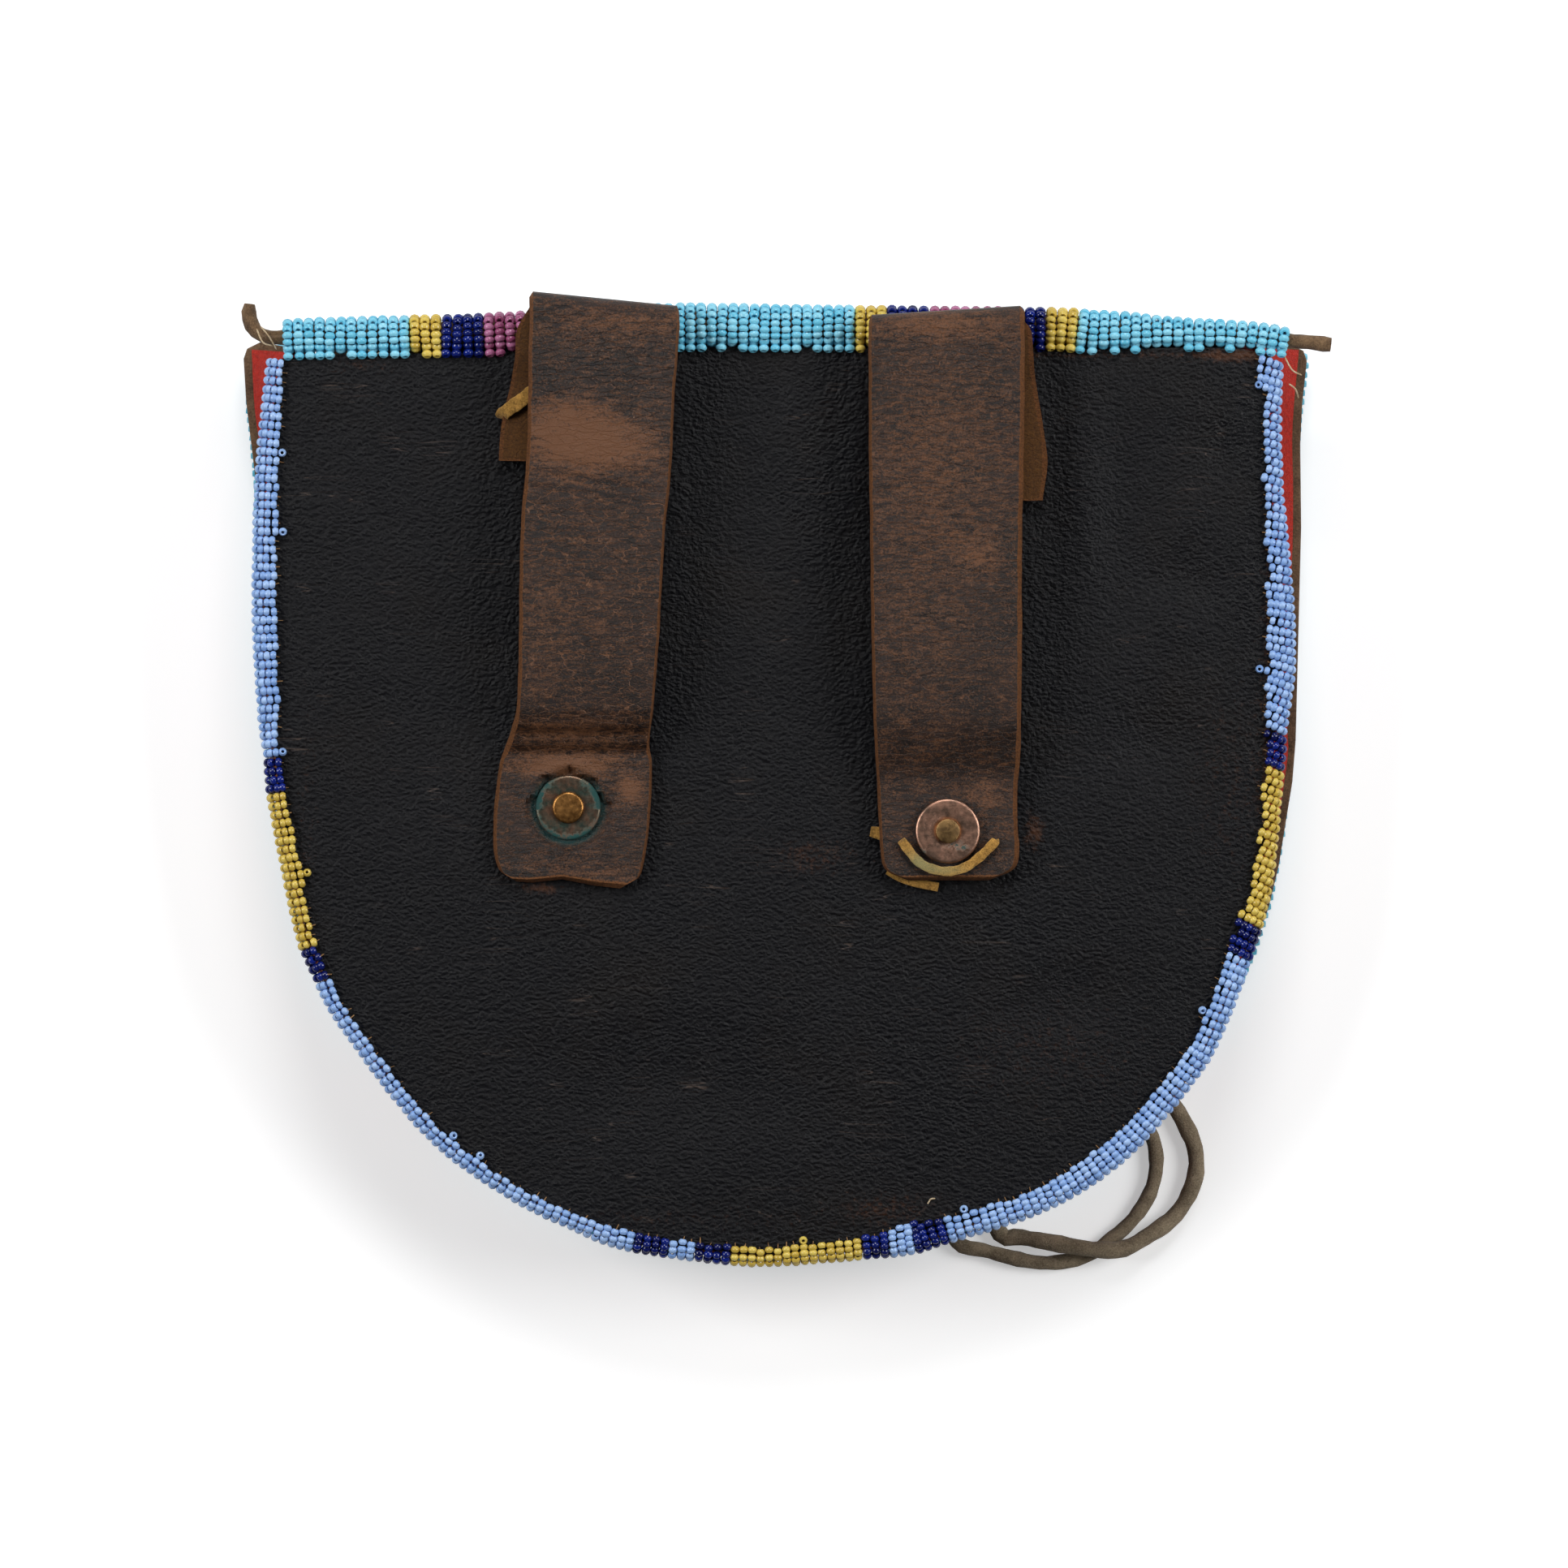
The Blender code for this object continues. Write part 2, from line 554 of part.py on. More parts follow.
def left_loop():
    """Left belt loop, its front run narrowing to a sunk rivet."""
    left, right = LEFT_LOOP_X - LEFT_LOOP_WIDTH / 2, LEFT_LOOP_X + LEFT_LOOP_WIDTH / 2
    over = over_roll(left, right)
    end, rivet = ROLL_Y - LEFT_BACK_RUN, ROLL_Y - LEFT_RIVET_DROP
    drop = (STRAP_HIGH - STRAP_LOW) / 4
    back = [
        (end, end - 0.0006, STRAP_LOW, left - 0.0059, right - 0.0020),
        (end + 0.0068, end + 0.0064, STRAP_LOW, left - 0.0054, right - 0.0017),
        (end + 0.0144, end + 0.0139, STRAP_LOW + 0.0002, left - 0.0037, right - 0.0011),
        (ROLL_Y - 0.0060, ROLL_Y - 0.0068, over - 0.0009, left - 0.0028, right - 0.0007),
        (ROLL_Y - 0.0012, ROLL_Y - 0.0026, over, left - 0.0024, right - 0.0003),
    ]
    fold = fold_rows(ROLL_Y + 0.0026, ROLL_Y - 0.0002, over, left, right)
    front = [
        (ROLL_Y - 0.0015, ROLL_Y - 0.0020, STRAP_HIGH, left, right),
        (ROLL_Y - 0.0142, ROLL_Y - 0.0148, STRAP_HIGH, left - 0.0002, right - 0.0009),
        (ROLL_Y - 0.0260, ROLL_Y - 0.0263, STRAP_HIGH, left - 0.0005, right - 0.0014),
        (ROLL_Y - 0.0390, ROLL_Y - 0.0388, STRAP_HIGH, left - 0.0016, right - 0.0026),
        (rivet + 0.0320, rivet + 0.0320, STRAP_HIGH - 0.0004, left - 0.0019, right - 0.0038),
        (rivet + 0.0190, rivet + 0.0192, STRAP_HIGH - drop, left - 0.0024, right - 0.0048),
        (rivet + 0.0145, rivet + 0.0147, STRAP_LOW + 1.6 * drop, left - 0.0034, right - 0.0054),
        (rivet + 0.0108, rivet + 0.0110, STRAP_LOW + 0.3 * drop, left - 0.0048, right - 0.0057),
        (rivet + 0.0080, rivet + 0.0082, STRAP_LOW, left - 0.0058, right - 0.0052),
        (rivet, rivet, STRAP_LOW, left - 0.0068, right - 0.0055),
        (rivet - 0.5 * LEFT_LAP, rivet - 0.5 * LEFT_LAP, STRAP_LOW, left - 0.0070, right - 0.0062),
        (rivet - 0.86 * LEFT_LAP, rivet - 0.90 * LEFT_LAP, STRAP_LOW, left - 0.0059, right - 0.0073),
        (rivet - 0.95 * LEFT_LAP, rivet - LEFT_LAP, STRAP_LOW, left - 0.0044, right - 0.0092),
    ]
    rows = smooth_line(back + fold + front, 40, 3)
    strap = ring_strip("left_belt_loop", sheet_rings(rows, STRAP), BROWN_LEATHER)
    floor = STRAP_LOW - STRAP / 2 + SINK_FLOOR
    cut_round(strap, LEFT_RIVET_X, rivet, SHANK_RADIUS + FIT, PANEL_TOP, floor + STRAP)
    cut_round(strap, LEFT_RIVET_X, rivet, SINK_RADIUS, floor, floor + 2 * STRAP)


def right_loop():
    """Right belt loop, its lower end lifted by the lace under it."""
    left, right = RIGHT_LOOP_X - RIGHT_LOOP_WIDTH / 2, RIGHT_LOOP_X + RIGHT_LOOP_WIDTH / 2
    over = over_roll(left, right)
    end, rivet = ROLL_Y - RIGHT_BACK_RUN, ROLL_Y - RIGHT_RIVET_DROP
    lifted = STRAP_LOW + RIGHT_LIFT
    drop = (STRAP_HIGH - lifted) / 4
    back = [
        (end, end + 0.0005, STRAP_LOW, left + 0.0008, right + 0.0036),
        (end + 0.0072, end + 0.0073, STRAP_LOW, left + 0.0006, right + 0.0045),
        (end + 0.0150, end + 0.0150, STRAP_LOW, left + 0.0005, right + 0.0036),
        (ROLL_Y - 0.0120, ROLL_Y - 0.0108, STRAP_LOW + 0.0003, left + 0.0004, right + 0.0023),
        (ROLL_Y - 0.0068, ROLL_Y - 0.0058, over - 0.0010, left + 0.0003, right + 0.0018),
        (ROLL_Y - 0.0030, ROLL_Y - 0.0014, over, left + 0.0003, right + 0.0014),
    ]
    fold = fold_rows(ROLL_Y - 0.0019, ROLL_Y - 0.0001, over, left, right)
    front = [
        (ROLL_Y - 0.0045, ROLL_Y - 0.0030, STRAP_HIGH, left, right),
        (ROLL_Y - 0.0157, ROLL_Y - 0.0157, STRAP_HIGH, left, right),
        (ROLL_Y - 0.0367, ROLL_Y - 0.0367, STRAP_HIGH, left + 0.0002, right - 0.0004),
        (ROLL_Y - 0.0480, ROLL_Y - 0.0480, STRAP_HIGH, left + 0.0004, right - 0.0005),
        (rivet + 0.0330, rivet + 0.0330, STRAP_HIGH - 0.0003, left + 0.0006, right - 0.0005),
        (rivet + 0.0215, rivet + 0.0215, STRAP_HIGH - drop, left + 0.0009, right - 0.0006),
        (rivet + 0.0160, rivet + 0.0165, lifted + 1.8 * drop, left + 0.0012, right - 0.0006),
        (rivet + 0.0115, rivet + 0.0120, lifted + 0.5 * drop, left + 0.0015, right - 0.0008),
        (rivet + 0.0078, rivet + 0.0080, lifted, left + 0.0017, right - 0.0012),
        (rivet, rivet, lifted, left + 0.0020, right - 0.0011),
        (rivet - 0.38 * RIGHT_LAP, rivet - 0.30 * RIGHT_LAP, lifted, left + 0.0023, right - 0.0008),
        (rivet - 0.78 * RIGHT_LAP, rivet - 0.75 * RIGHT_LAP, lifted, left + 0.0033, right - 0.0016),
        (rivet - RIGHT_LAP, rivet - RIGHT_LAP, lifted, left + 0.0075, right - 0.0066),
    ]
    rows = smooth_line(back + fold + front, 40, 3)
    strap = ring_strip("right_belt_loop", sheet_rings(rows, STRAP), BROWN_LEATHER)
    cut_round(strap, RIGHT_RIVET_X, rivet, SHANK_RADIUS + FIT, PANEL_TOP, lifted + STRAP)
    for x, y in right_lace_holes():
        cut_round(strap, x, y, LACE_HOLE, PANEL_TOP, lifted + STRAP)


def rivet_and_burr(side, x, drop, burr_low, peen_radius):
    """A copper rivet, its head inside the pouch, peened over a round burr."""
    y = ROLL_Y - drop
    under = PANEL_LOW - CLEAR
    burr_top = burr_low + BURR
    shank = [
        (0, under - HEAD), (0.8 * HEAD_RADIUS, under - HEAD), (HEAD_RADIUS, under - 0.4 * HEAD),
        (HEAD_RADIUS, under), (SHANK_RADIUS, under), (SHANK_RADIUS, burr_top + CLEAR / 2),
        (peen_radius, burr_top + CLEAR), (peen_radius, burr_top + CLEAR + 0.5 * BURR),
        (0.8 * peen_radius, burr_top + CLEAR + 0.8 * BURR), (0, burr_top + CLEAR + 0.8 * BURR),
    ]
    turned(f"{side}_rivet", x, y, shank, COPPER, 20)
    ring = [
        (SHANK_RADIUS + FIT, burr_low), (BURR_RADIUS, burr_low),
        (BURR_RADIUS, burr_low + 0.6 * BURR), (0.93 * BURR_RADIUS, burr_top),
        (SHANK_RADIUS + FIT, burr_top),
    ]
    turned(f"{side}_burr", x, y, ring, COPPER, 28)


def left_lace():
    """Buckskin lace over the left back run and round its edge to the panel."""
    edge = LEFT_LOOP_X - LEFT_LOOP_WIDTH / 2 - 0.0045
    y = ROLL_Y - LEFT_BACK_RUN + 0.0094
    low = PANEL_TOP + CLEAR + LACE_RADIUS
    high = STRAP_LOW + STRAP / 2 + CLEAR + LACE_RADIUS
    route = [
        (edge - 0.0024, y - 0.0022, low), (edge - 0.0021, y - 0.0017, (low + high) / 2),
        (edge - 0.0008, y - 0.0010, high + 0.0002), (edge + 0.0020, y + 0.0010, high),
        (edge + 0.0060, y + 0.0040, high), (edge + 0.0120, y + 0.0052, high + 0.0006),
        (edge + 0.0190, y + 0.0040, high + 0.0006),
    ]
    tube("left_lace", route, LACE_RADIUS, 18, YELLOW_BUCKSKIN)


def right_lace_holes():
    y = ROLL_Y - RIGHT_RIVET_DROP
    reach = BURR_RADIUS + 0.0027
    return (RIGHT_RIVET_X - reach, y - 0.0018), (RIGHT_RIVET_X + reach, y - 0.0018)


def right_lace():
    """Buckskin lace bowed round the right burr, both ends through the strap and out below it."""
    (x1, y1), (x2, y2) = right_lace_holes()
    rivet = ROLL_Y - RIGHT_RIVET_DROP
    low = PANEL_TOP + CLEAR + LACE_RADIUS
    top = STRAP_LOW + RIGHT_LIFT + STRAP / 2
    bow = rivet - BURR_RADIUS - CLEAR - LACE_RADIUS - 0.0002
    high = top + CLEAR + LACE_RADIUS
    route = [
        (x1 + 0.0075, rivet - RIGHT_LAP - 0.0014, low), (x1 + 0.0035, rivet - RIGHT_LAP - 0.0006, low),
        (x1 + 0.0007, y1 - 0.0040, low), (x1, y1 - 0.0008, low + 0.0002),
        (x1, y1, low + 0.0012), (x1, y1, top), (x1 + 0.0002, y1 - 0.0004, high),
        (x1 + 0.0028, bow + 0.0016, high), (RIGHT_RIVET_X, bow, high), (x2 - 0.0028, bow + 0.0016, high),
        (x2 - 0.0002, y2 - 0.0004, high), (x2, y2, top), (x2, y2, low + 0.0012),
        (x2 - 0.0008, y2 + 0.0010, low), (RIGHT_RIVET_X, rivet + SHANK_RADIUS + 0.0020, low),
        (x1 - 0.0010, y1 + 0.0036, low), (x1 - 0.0056, y1 + 0.0030, low),
    ]
    tube("right_lace", route, LACE_RADIUS, 46, YELLOW_BUCKSKIN)


def flap_line():
    """The flap's middle line from under the roll, round the mouth, then along the front."""
    start = ROLL_Z - roll_at(-0.24 * HALF_WIDTH)[1] - CLEAR
    low = FLAP_LOW + FLAP_HIDE / 2
    front = ROLL_Y - 0.0040
    fall = start - low
    turn = [
        (ROLL_Y, start), (ROLL_Y + 0.7 * FLAP_BULGE, low + 0.78 * fall),
        (ROLL_Y + FLAP_BULGE, low + 0.50 * fall), (ROLL_Y + 0.5 * FLAP_BULGE, low + 0.22 * fall),
        (front + 0.0010, low + 0.06 * fall), (front - 0.0050, low), (front - 0.0100, low),
    ]
    return turn, low


def flap_half_width(y):
    """Half the flap's width at y: straight sides, then a round lower edge."""
    share = (ROLL_Y - y) / FLAP_REACH
    if share < 0.55:
        return FLAP_HALF_WIDTH
    return FLAP_HALF_WIDTH * max(0, 1 - ((share - 0.55) / 0.45) ** 3.2) ** 0.42


def flap_rows(offset, skipped, narrower, shorter):
    """Rows of the flap or its beads round the mouth and along the front, at an offset outwards."""
    turn, low = flap_line()
    line = smooth_line(turn, 16)
    line[:, 1] = numpy.maximum(line[:, 1], low)
    along = numpy.gradient(line, axis=0)
    along /= numpy.linalg.norm(along, axis=1)[:, None]
    line = line + numpy.column_stack([-along[:, 1], along[:, 0]]) * offset
    half = FLAP_HALF_WIDTH - narrower
    round_mouth = [(y, y, z, -half, half) for y, z in line[skipped:]]
    start, level = line[-1]
    end = ROLL_Y - FLAP_REACH + shorter
    along_front = []
    for step in numpy.sin(numpy.linspace(0, math.pi / 2, 16))[1:]:
        y = start + (end - start) * step
        half = max(flap_half_width(max(y - shorter, ROLL_Y - FLAP_REACH)) - narrower, TIP_HALF_WIDTH)
        along_front.append((y, y, level, -half, half))
    return round_mouth, along_front


def flap_pieces():
    """Hide flap and its beads, all with their origin on the hinge axis in the roll."""
    axis = (0, ROLL_Y, ROLL_Z)
    round_mouth, along_front = flap_rows(0, 0, 0, 0)
    ring_strip("flap", sheet_rings(round_mouth + along_front, FLAP_HIDE), HIDE, axis)
    out = FLAP_HIDE / 2 + CLEAR + FLAP_BEADS / 2
    margin = 2 * CLEAR
    round_mouth, along_front = flap_rows(out, 2, margin, margin)
    ring_strip("flap_top_beadwork", sheet_rings(round_mouth, FLAP_BEADS), TURQUOISE, axis)
    top = round_mouth[-1][0] - CLEAR
    half = round_mouth[-1][4]
    left = [(-half, top)] + [(row[3], row[0]) for row in along_front]
    outline = left + [(-x, y) for x, y in reversed(left)]
    beads = prism("flap_beadwork", outline, 0, FLAP_BEADS, TURQUOISE)
    groove_lanes(beads, 0, FLAP_HALF_WIDTH)
    for vert in beads.data.vertices:
        vert.co -= Vector(axis)
    beads.location = axis


def tie_knot():
    """Knob of the tie thong on the front, its stem through hide and beads to a knob inside."""
    outer_top = FRONT_LOW - CLEAR
    inner = HIDE_TOP + CLEAR
    profile = [
        (0, CLEAR), (0.75 * KNOT_RADIUS, CLEAR), (KNOT_RADIUS, 0.35 * outer_top),
        (KNOT_RADIUS, 0.7 * outer_top), (0.75 * KNOT_RADIUS, outer_top), (KNOT_STEM, outer_top),
        (KNOT_STEM, inner), (0.8 * KNOT_RADIUS, inner), (0.8 * KNOT_RADIUS, inner + 0.6 * KNOT_INNER),
        (0.5 * KNOT_RADIUS, inner + KNOT_INNER), (0, inner + KNOT_INNER),
    ]
    turned("tie_knot", KNOT_X, KNOT_Y, profile, BUCKSKIN, 16)


def tie_thongs():
    """Two loose thongs from the knot, out past the lower right edge and back under the front."""
    low_a, low_b = THONG_A_RADIUS + CLEAR / 2, THONG_B_RADIUS + CLEAR / 2
    crossing = 2 * THONG_A_RADIUS + THONG_B_RADIUS + 0.0004
    reach = KNOT_RADIUS + CLEAR
    thong_a = [
        (KNOT_X + 0.0003, KNOT_Y - reach, low_a), (KNOT_X + 0.0010, KNOT_Y - reach - 0.0030, low_a),
        (0.0145, -0.0550, low_a), (0.0225, -0.0660, low_a),
        (0.0280, -0.0780, low_a), (0.0327, -0.0881, low_a), (0.0385, -0.0901, low_a),
        (0.0461, -0.0920, low_a), (0.0513, -0.0924, low_a), (0.0573, -0.0913, low_a),
        (0.0616, -0.0887, low_a), (0.0668, -0.0840, low_a), (0.0702, -0.0785, low_a),
        (0.0712, -0.0725, low_a), (0.0698, -0.0669, low_a), (0.0660, -0.0618, low_a),
        (0.0605, -0.0588, low_a), (0.0540, -0.0582, low_a),
    ]
    thong_b = [
        (KNOT_X + reach, KNOT_Y, low_b), (KNOT_X + reach + 0.0035, KNOT_Y - 0.0004, low_b),
        (0.0245, -0.0480, low_b), (0.0315, -0.0610, low_b),
        (0.0363, -0.0750, low_b), (0.0411, -0.0866, low_b), (0.0450, -0.0874, low_b + 0.0006),
        (0.0504, -0.0883, low_b + 0.0022), (0.0552, -0.0891, crossing), (0.0595, -0.0897, crossing),
        (0.0645, -0.0896, crossing), (0.0689, -0.0875, low_b + 0.0018), (0.0749, -0.0832, low_b),
        (0.0784, -0.0768, low_b), (0.0786, -0.0707, low_b), (0.0763, -0.0652, low_b),
        (0.0735, -0.0608, low_b), (0.0690, -0.0560, low_b), (0.0635, -0.0525, low_b),
        (0.0570, -0.0512, low_b),
    ]
    tube("tie_thong_a", thong_a, THONG_A_RADIUS, 24, BUCKSKIN)
    tube("tie_thong_b", thong_b, THONG_B_RADIUS, 24, BUCKSKIN)


def centre_on_footprint():
    """Moves every piece so that the pouch, without its loose thongs, stands over the origin."""
    bpy.context.view_layer.update()
    graph = bpy.context.evaluated_depsgraph_get()
    low, high = Vector((1, 1, 0)), Vector((-1, -1, 0))
    for obj in bpy.context.scene.objects:
        if obj.hide_render or obj.name.startswith("tie_thong"):
            continue
        seen = obj.evaluated_get(graph)
        mesh = seen.to_mesh()
        for vert in mesh.vertices:
            place = seen.matrix_world @ vert.co
            for axis in (0, 1):
                low[axis] = min(low[axis], place[axis])
                high[axis] = max(high[axis], place[axis])
        seen.to_mesh_clear()
    shift = (low + high) / 2
    for obj in bpy.context.scene.objects:
        obj.location -= shift


def build():
    clear_scene()
    stations = edge_stations(58)
    back_panel(stations)
    front_panel(stations)
    front_beadwork(stations)
    gusset(stations)
    edging()
    roll()
    roll_core()
    left_loop()
    right_loop()
    strap_under = STRAP_LOW - STRAP / 2
    rivet_and_burr("left", LEFT_RIVET_X, LEFT_RIVET_DROP, strap_under + SINK_FLOOR + CLEAR, PEEN_RADIUS)
    lifted_top = strap_under + RIGHT_LIFT + STRAP
    rivet_and_burr("right", RIGHT_RIVET_X, RIGHT_RIVET_DROP, lifted_top + CLEAR, SHANK_RADIUS)
    left_lace()
    right_lace()
    flap_pieces()
    tie_knot()
    tie_thongs()
    centre_on_footprint()


build()
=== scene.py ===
import math

import bmesh
import bpy
import numpy as np
from mathutils import Matrix, Vector, noise
from mathutils.bvhtree import BVHTree


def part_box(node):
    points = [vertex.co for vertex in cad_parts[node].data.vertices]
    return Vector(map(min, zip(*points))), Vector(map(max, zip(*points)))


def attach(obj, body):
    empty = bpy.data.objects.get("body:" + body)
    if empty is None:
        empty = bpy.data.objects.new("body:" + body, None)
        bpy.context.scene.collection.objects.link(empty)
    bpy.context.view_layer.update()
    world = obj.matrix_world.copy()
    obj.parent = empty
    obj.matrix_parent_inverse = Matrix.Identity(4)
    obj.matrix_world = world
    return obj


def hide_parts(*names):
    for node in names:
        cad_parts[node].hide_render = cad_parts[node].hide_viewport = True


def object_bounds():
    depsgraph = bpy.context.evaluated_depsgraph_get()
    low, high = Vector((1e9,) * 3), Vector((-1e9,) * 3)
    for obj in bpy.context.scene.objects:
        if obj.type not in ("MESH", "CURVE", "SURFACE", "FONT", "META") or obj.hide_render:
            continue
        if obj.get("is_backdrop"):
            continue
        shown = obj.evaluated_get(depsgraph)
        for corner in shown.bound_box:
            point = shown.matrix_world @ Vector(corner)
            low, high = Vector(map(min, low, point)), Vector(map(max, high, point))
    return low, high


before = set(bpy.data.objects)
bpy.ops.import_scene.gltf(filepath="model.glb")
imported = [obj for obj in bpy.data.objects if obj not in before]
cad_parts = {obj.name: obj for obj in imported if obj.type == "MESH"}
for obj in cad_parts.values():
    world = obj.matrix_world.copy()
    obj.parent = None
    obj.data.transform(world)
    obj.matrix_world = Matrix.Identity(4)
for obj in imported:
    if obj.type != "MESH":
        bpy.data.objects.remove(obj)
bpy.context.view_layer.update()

# Camera: straight above the pouch, which lies on its front with the belt loops up. It stands a
# metre and a half away with a long lens, so that beads and straps show without much perspective.
MM = 0.001
scene = bpy.context.scene
panel_low, panel_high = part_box("back_panel")
CAMERA_DISTANCE = 1500 * MM
FRAME_WIDTH = 295.6 * MM
SENSOR = 36
# The middle of the frame, a little off the pouch's middle
FRAME_X, FRAME_Y = -0.1 * MM, -0.15 * MM


def put(name, data, location=(0, 0, 0)):
    """Places an object in the scene."""
    made = bpy.data.objects.new(name, data)
    made.location = location
    scene.collection.objects.link(made)
    return made


lens = bpy.data.cameras.new("camera")
lens.sensor_width = SENSOR
lens.lens = SENSOR * CAMERA_DISTANCE / FRAME_WIDTH
scene.camera = put("camera", lens, (FRAME_X, FRAME_Y, panel_high.z + CAMERA_DISTANCE))


# Tie thongs: two strips of grey-tan buckskin rolled between the fingers, which tie the pouch shut
# in front. They leave the knot below the flap, come out past the lower right edge and turn back
# under the pouch, where they end cut square. One is 2.8 mm thick, the other 3.2 mm.
# Where the drawing's own origin lies, and how finely a curve runs from one given row to the next
DRAWING_ORIGIN = Vector((-0.021, 0.613, 0)) * MM
STEPS_A_ROW = 12


def read_off(rows, run, places):
    """The rows at these places along their run, in between the given ones too."""
    return np.column_stack([np.interp(places, run, column) for column in rows.T])


def smooth_line(rows, count, measured=3):
    """Evenly spaced rows on the smooth curve through the given ones, by their first columns."""
    rows = np.array(rows, float)
    ends = np.vstack([2 * rows[0] - rows[1], rows, 2 * rows[-1] - rows[-2]])
    fine = []
    for i in range(1, len(rows)):
        a, b, c, d = ends[i - 1:i + 3]
        for t in np.arange(0, 1, 1 / STEPS_A_ROW):
            bend = (2 * a - 5 * b + 4 * c - d) * t + (3 * b - a - 3 * c + d) * t * t
            fine.append(b + 0.5 * t * ((c - a) + bend))
    fine = np.array(fine + [rows[-1]])
    steps = np.linalg.norm(np.diff(fine[:, :measured], axis=0), axis=1)
    run = np.concatenate([[0], np.cumsum(steps)])
    return read_off(fine, run, np.linspace(0, run[-1], count))


def drawn(points, count, level=0.0):
    """A smooth line in metres through points in mm on the drawing, raised to a level in mm."""
    return (smooth_line(points, count) + np.array((0, 0, level))) * MM + np.array(DRAWING_ORIGIN)


def linear(code):
    """An sRGB hex colour as linear red, green, blue and alpha."""
    shares = [int(code[i:i + 2], 16) / 255 for i in (0, 2, 4)]
    return (*[c / 12.92 if c <= 0.04045 else ((c + 0.055) / 1.055) ** 2.4 for c in shares], 1.0)


def add_node(near, kind, sockets=(), **settings):
    """Adds a node with its settings, beside another one's output. Sockets take constants or outputs."""
    tree = near.id_data
    made = tree.nodes.new("ShaderNode" + kind)
    for name, value in settings.items():
        setattr(made, name, value)
    for socket, value in dict(sockets).items():
        if isinstance(value, bpy.types.NodeSocket):
            tree.links.new(value, made.inputs[socket])
        else:
            made.inputs[socket].default_value = value
    return made


def speckle(place, size, detail=4.0, roughness=0.6, colour=False):
    """A cloudy pattern with features of about this size in metres."""
    sockets = {"Vector": place, "Scale": 1 / size, "Detail": detail, "Roughness": roughness}
    return add_node(place, "TexNoise", sockets).outputs["Color" if colour else "Fac"]


def ramp(value, start, end, low=0.0, high=1.0):
    """Turns a value running from start to end into one running from low to high."""
    sockets = {"Value": value, "From Min": start, "From Max": end, "To Min": low, "To Max": high}
    return add_node(value, "MapRange", sockets).outputs[0]


def work_out(operation, *values):
    """A Math node on these values. One or more of them is another node's output."""
    near = next(value for value in values if isinstance(value, bpy.types.NodeSocket))
    return add_node(near, "Math", dict(enumerate(values)), operation=operation).outputs[0]


def tint(share, first, second):
    """A colour between two. Each is an sRGB hex code or another node's output."""
    pair = [linear(colour) if isinstance(colour, str) else colour for colour in (first, second)]
    return add_node(share, "Mix", {0: share, 6: pair[0], 7: pair[1]}, data_type="RGBA").outputs[2]


def relief_from(height, strength, depth):
    """A bumped normal, depth in metres."""
    sockets = {"Height": height, "Strength": strength, "Distance": depth}
    return add_node(height, "Bump", sockets).outputs["Normal"]


def painted(place, name):
    """A share that paint has written on the object's vertices."""
    return add_node(place, "Attribute", attribute_name=name).outputs["Fac"]


def stretched(place, turn, scale):
    """The place turned and stretched, for a pattern with a direction."""
    sockets = {"Vector": place, "Rotation": (0, 0, turn), "Scale": scale}
    return add_node(place, "Mapping", sockets).outputs[0]


def swayed(place, still, size, reach):
    """A place moved about by a share of a cloudy pattern, so that cells aren't straight."""
    sway = speckle(place, size, 3.0, colour=True)
    return add_node(place, "Mix", {0: reach, 4: still, 5: sway}, data_type="VECTOR").outputs[1]


def start_material(name, constants):
    """A material with its shader's constants set, and the place on the object."""
    made = bpy.data.materials.new(name)
    made.use_nodes = True
    shader = made.node_tree.nodes["Principled BSDF"]
    for socket, value in constants.items():
        shader.inputs[socket].default_value = value
    return made, add_node(shader.outputs[0], "TexCoord").outputs["Object"]


def wire(made, **outputs):
    """Links outputs to the shader: Base_Color stands for Base Color."""
    tree = made.node_tree
    for socket, output in outputs.items():
        tree.links.new(output, tree.nodes["Principled BSDF"].inputs[socket.replace("_", " ")])
    return made


def suede(name, pale, dark, nap=0.35, mottle=4.0, stain=None):
    """Split or smoked hide: a dull nap of short fibres, paler where it is rubbed, or with a stain."""
    made, place = start_material(
        name, {"Roughness": 0.92, "Specular IOR Level": 0.25, "Sheen Weight": 0.1})
    clouds = speckle(place, mottle * MM, 6.0, 0.65)
    fibres = speckle(place, nap * MM, 4.0, 0.7)
    share = ramp(work_out("ADD", clouds, fibres), 0.75, 1.25)
    colour = tint(share, dark, pale)
    if stain:
        colour = tint(painted(place, "stained"), colour, stain)
    return wire(made, Base_Color=colour, Normal=relief_from(fibres, 0.8, 0.3 * MM))


def mesh_from(name, made):
    """A mesh from a finished bmesh, which is freed."""
    mesh = bpy.data.meshes.new(name)
    made.to_mesh(mesh)
    made.free()
    return mesh


def make_piece(name, made, finish, node=None, body="pouch", crease=40):
    """Turns a bmesh into a piece with this finish that rides on a body. The node it stands for is hidden.
    """
    mesh = mesh_from(name, made)
    mesh.materials.append(finish)
    mesh.shade_smooth()
    mesh.set_sharp_from_angle(angle=math.radians(crease))
    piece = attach(put(name, mesh), body)
    if node:
        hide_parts(node)
    return piece


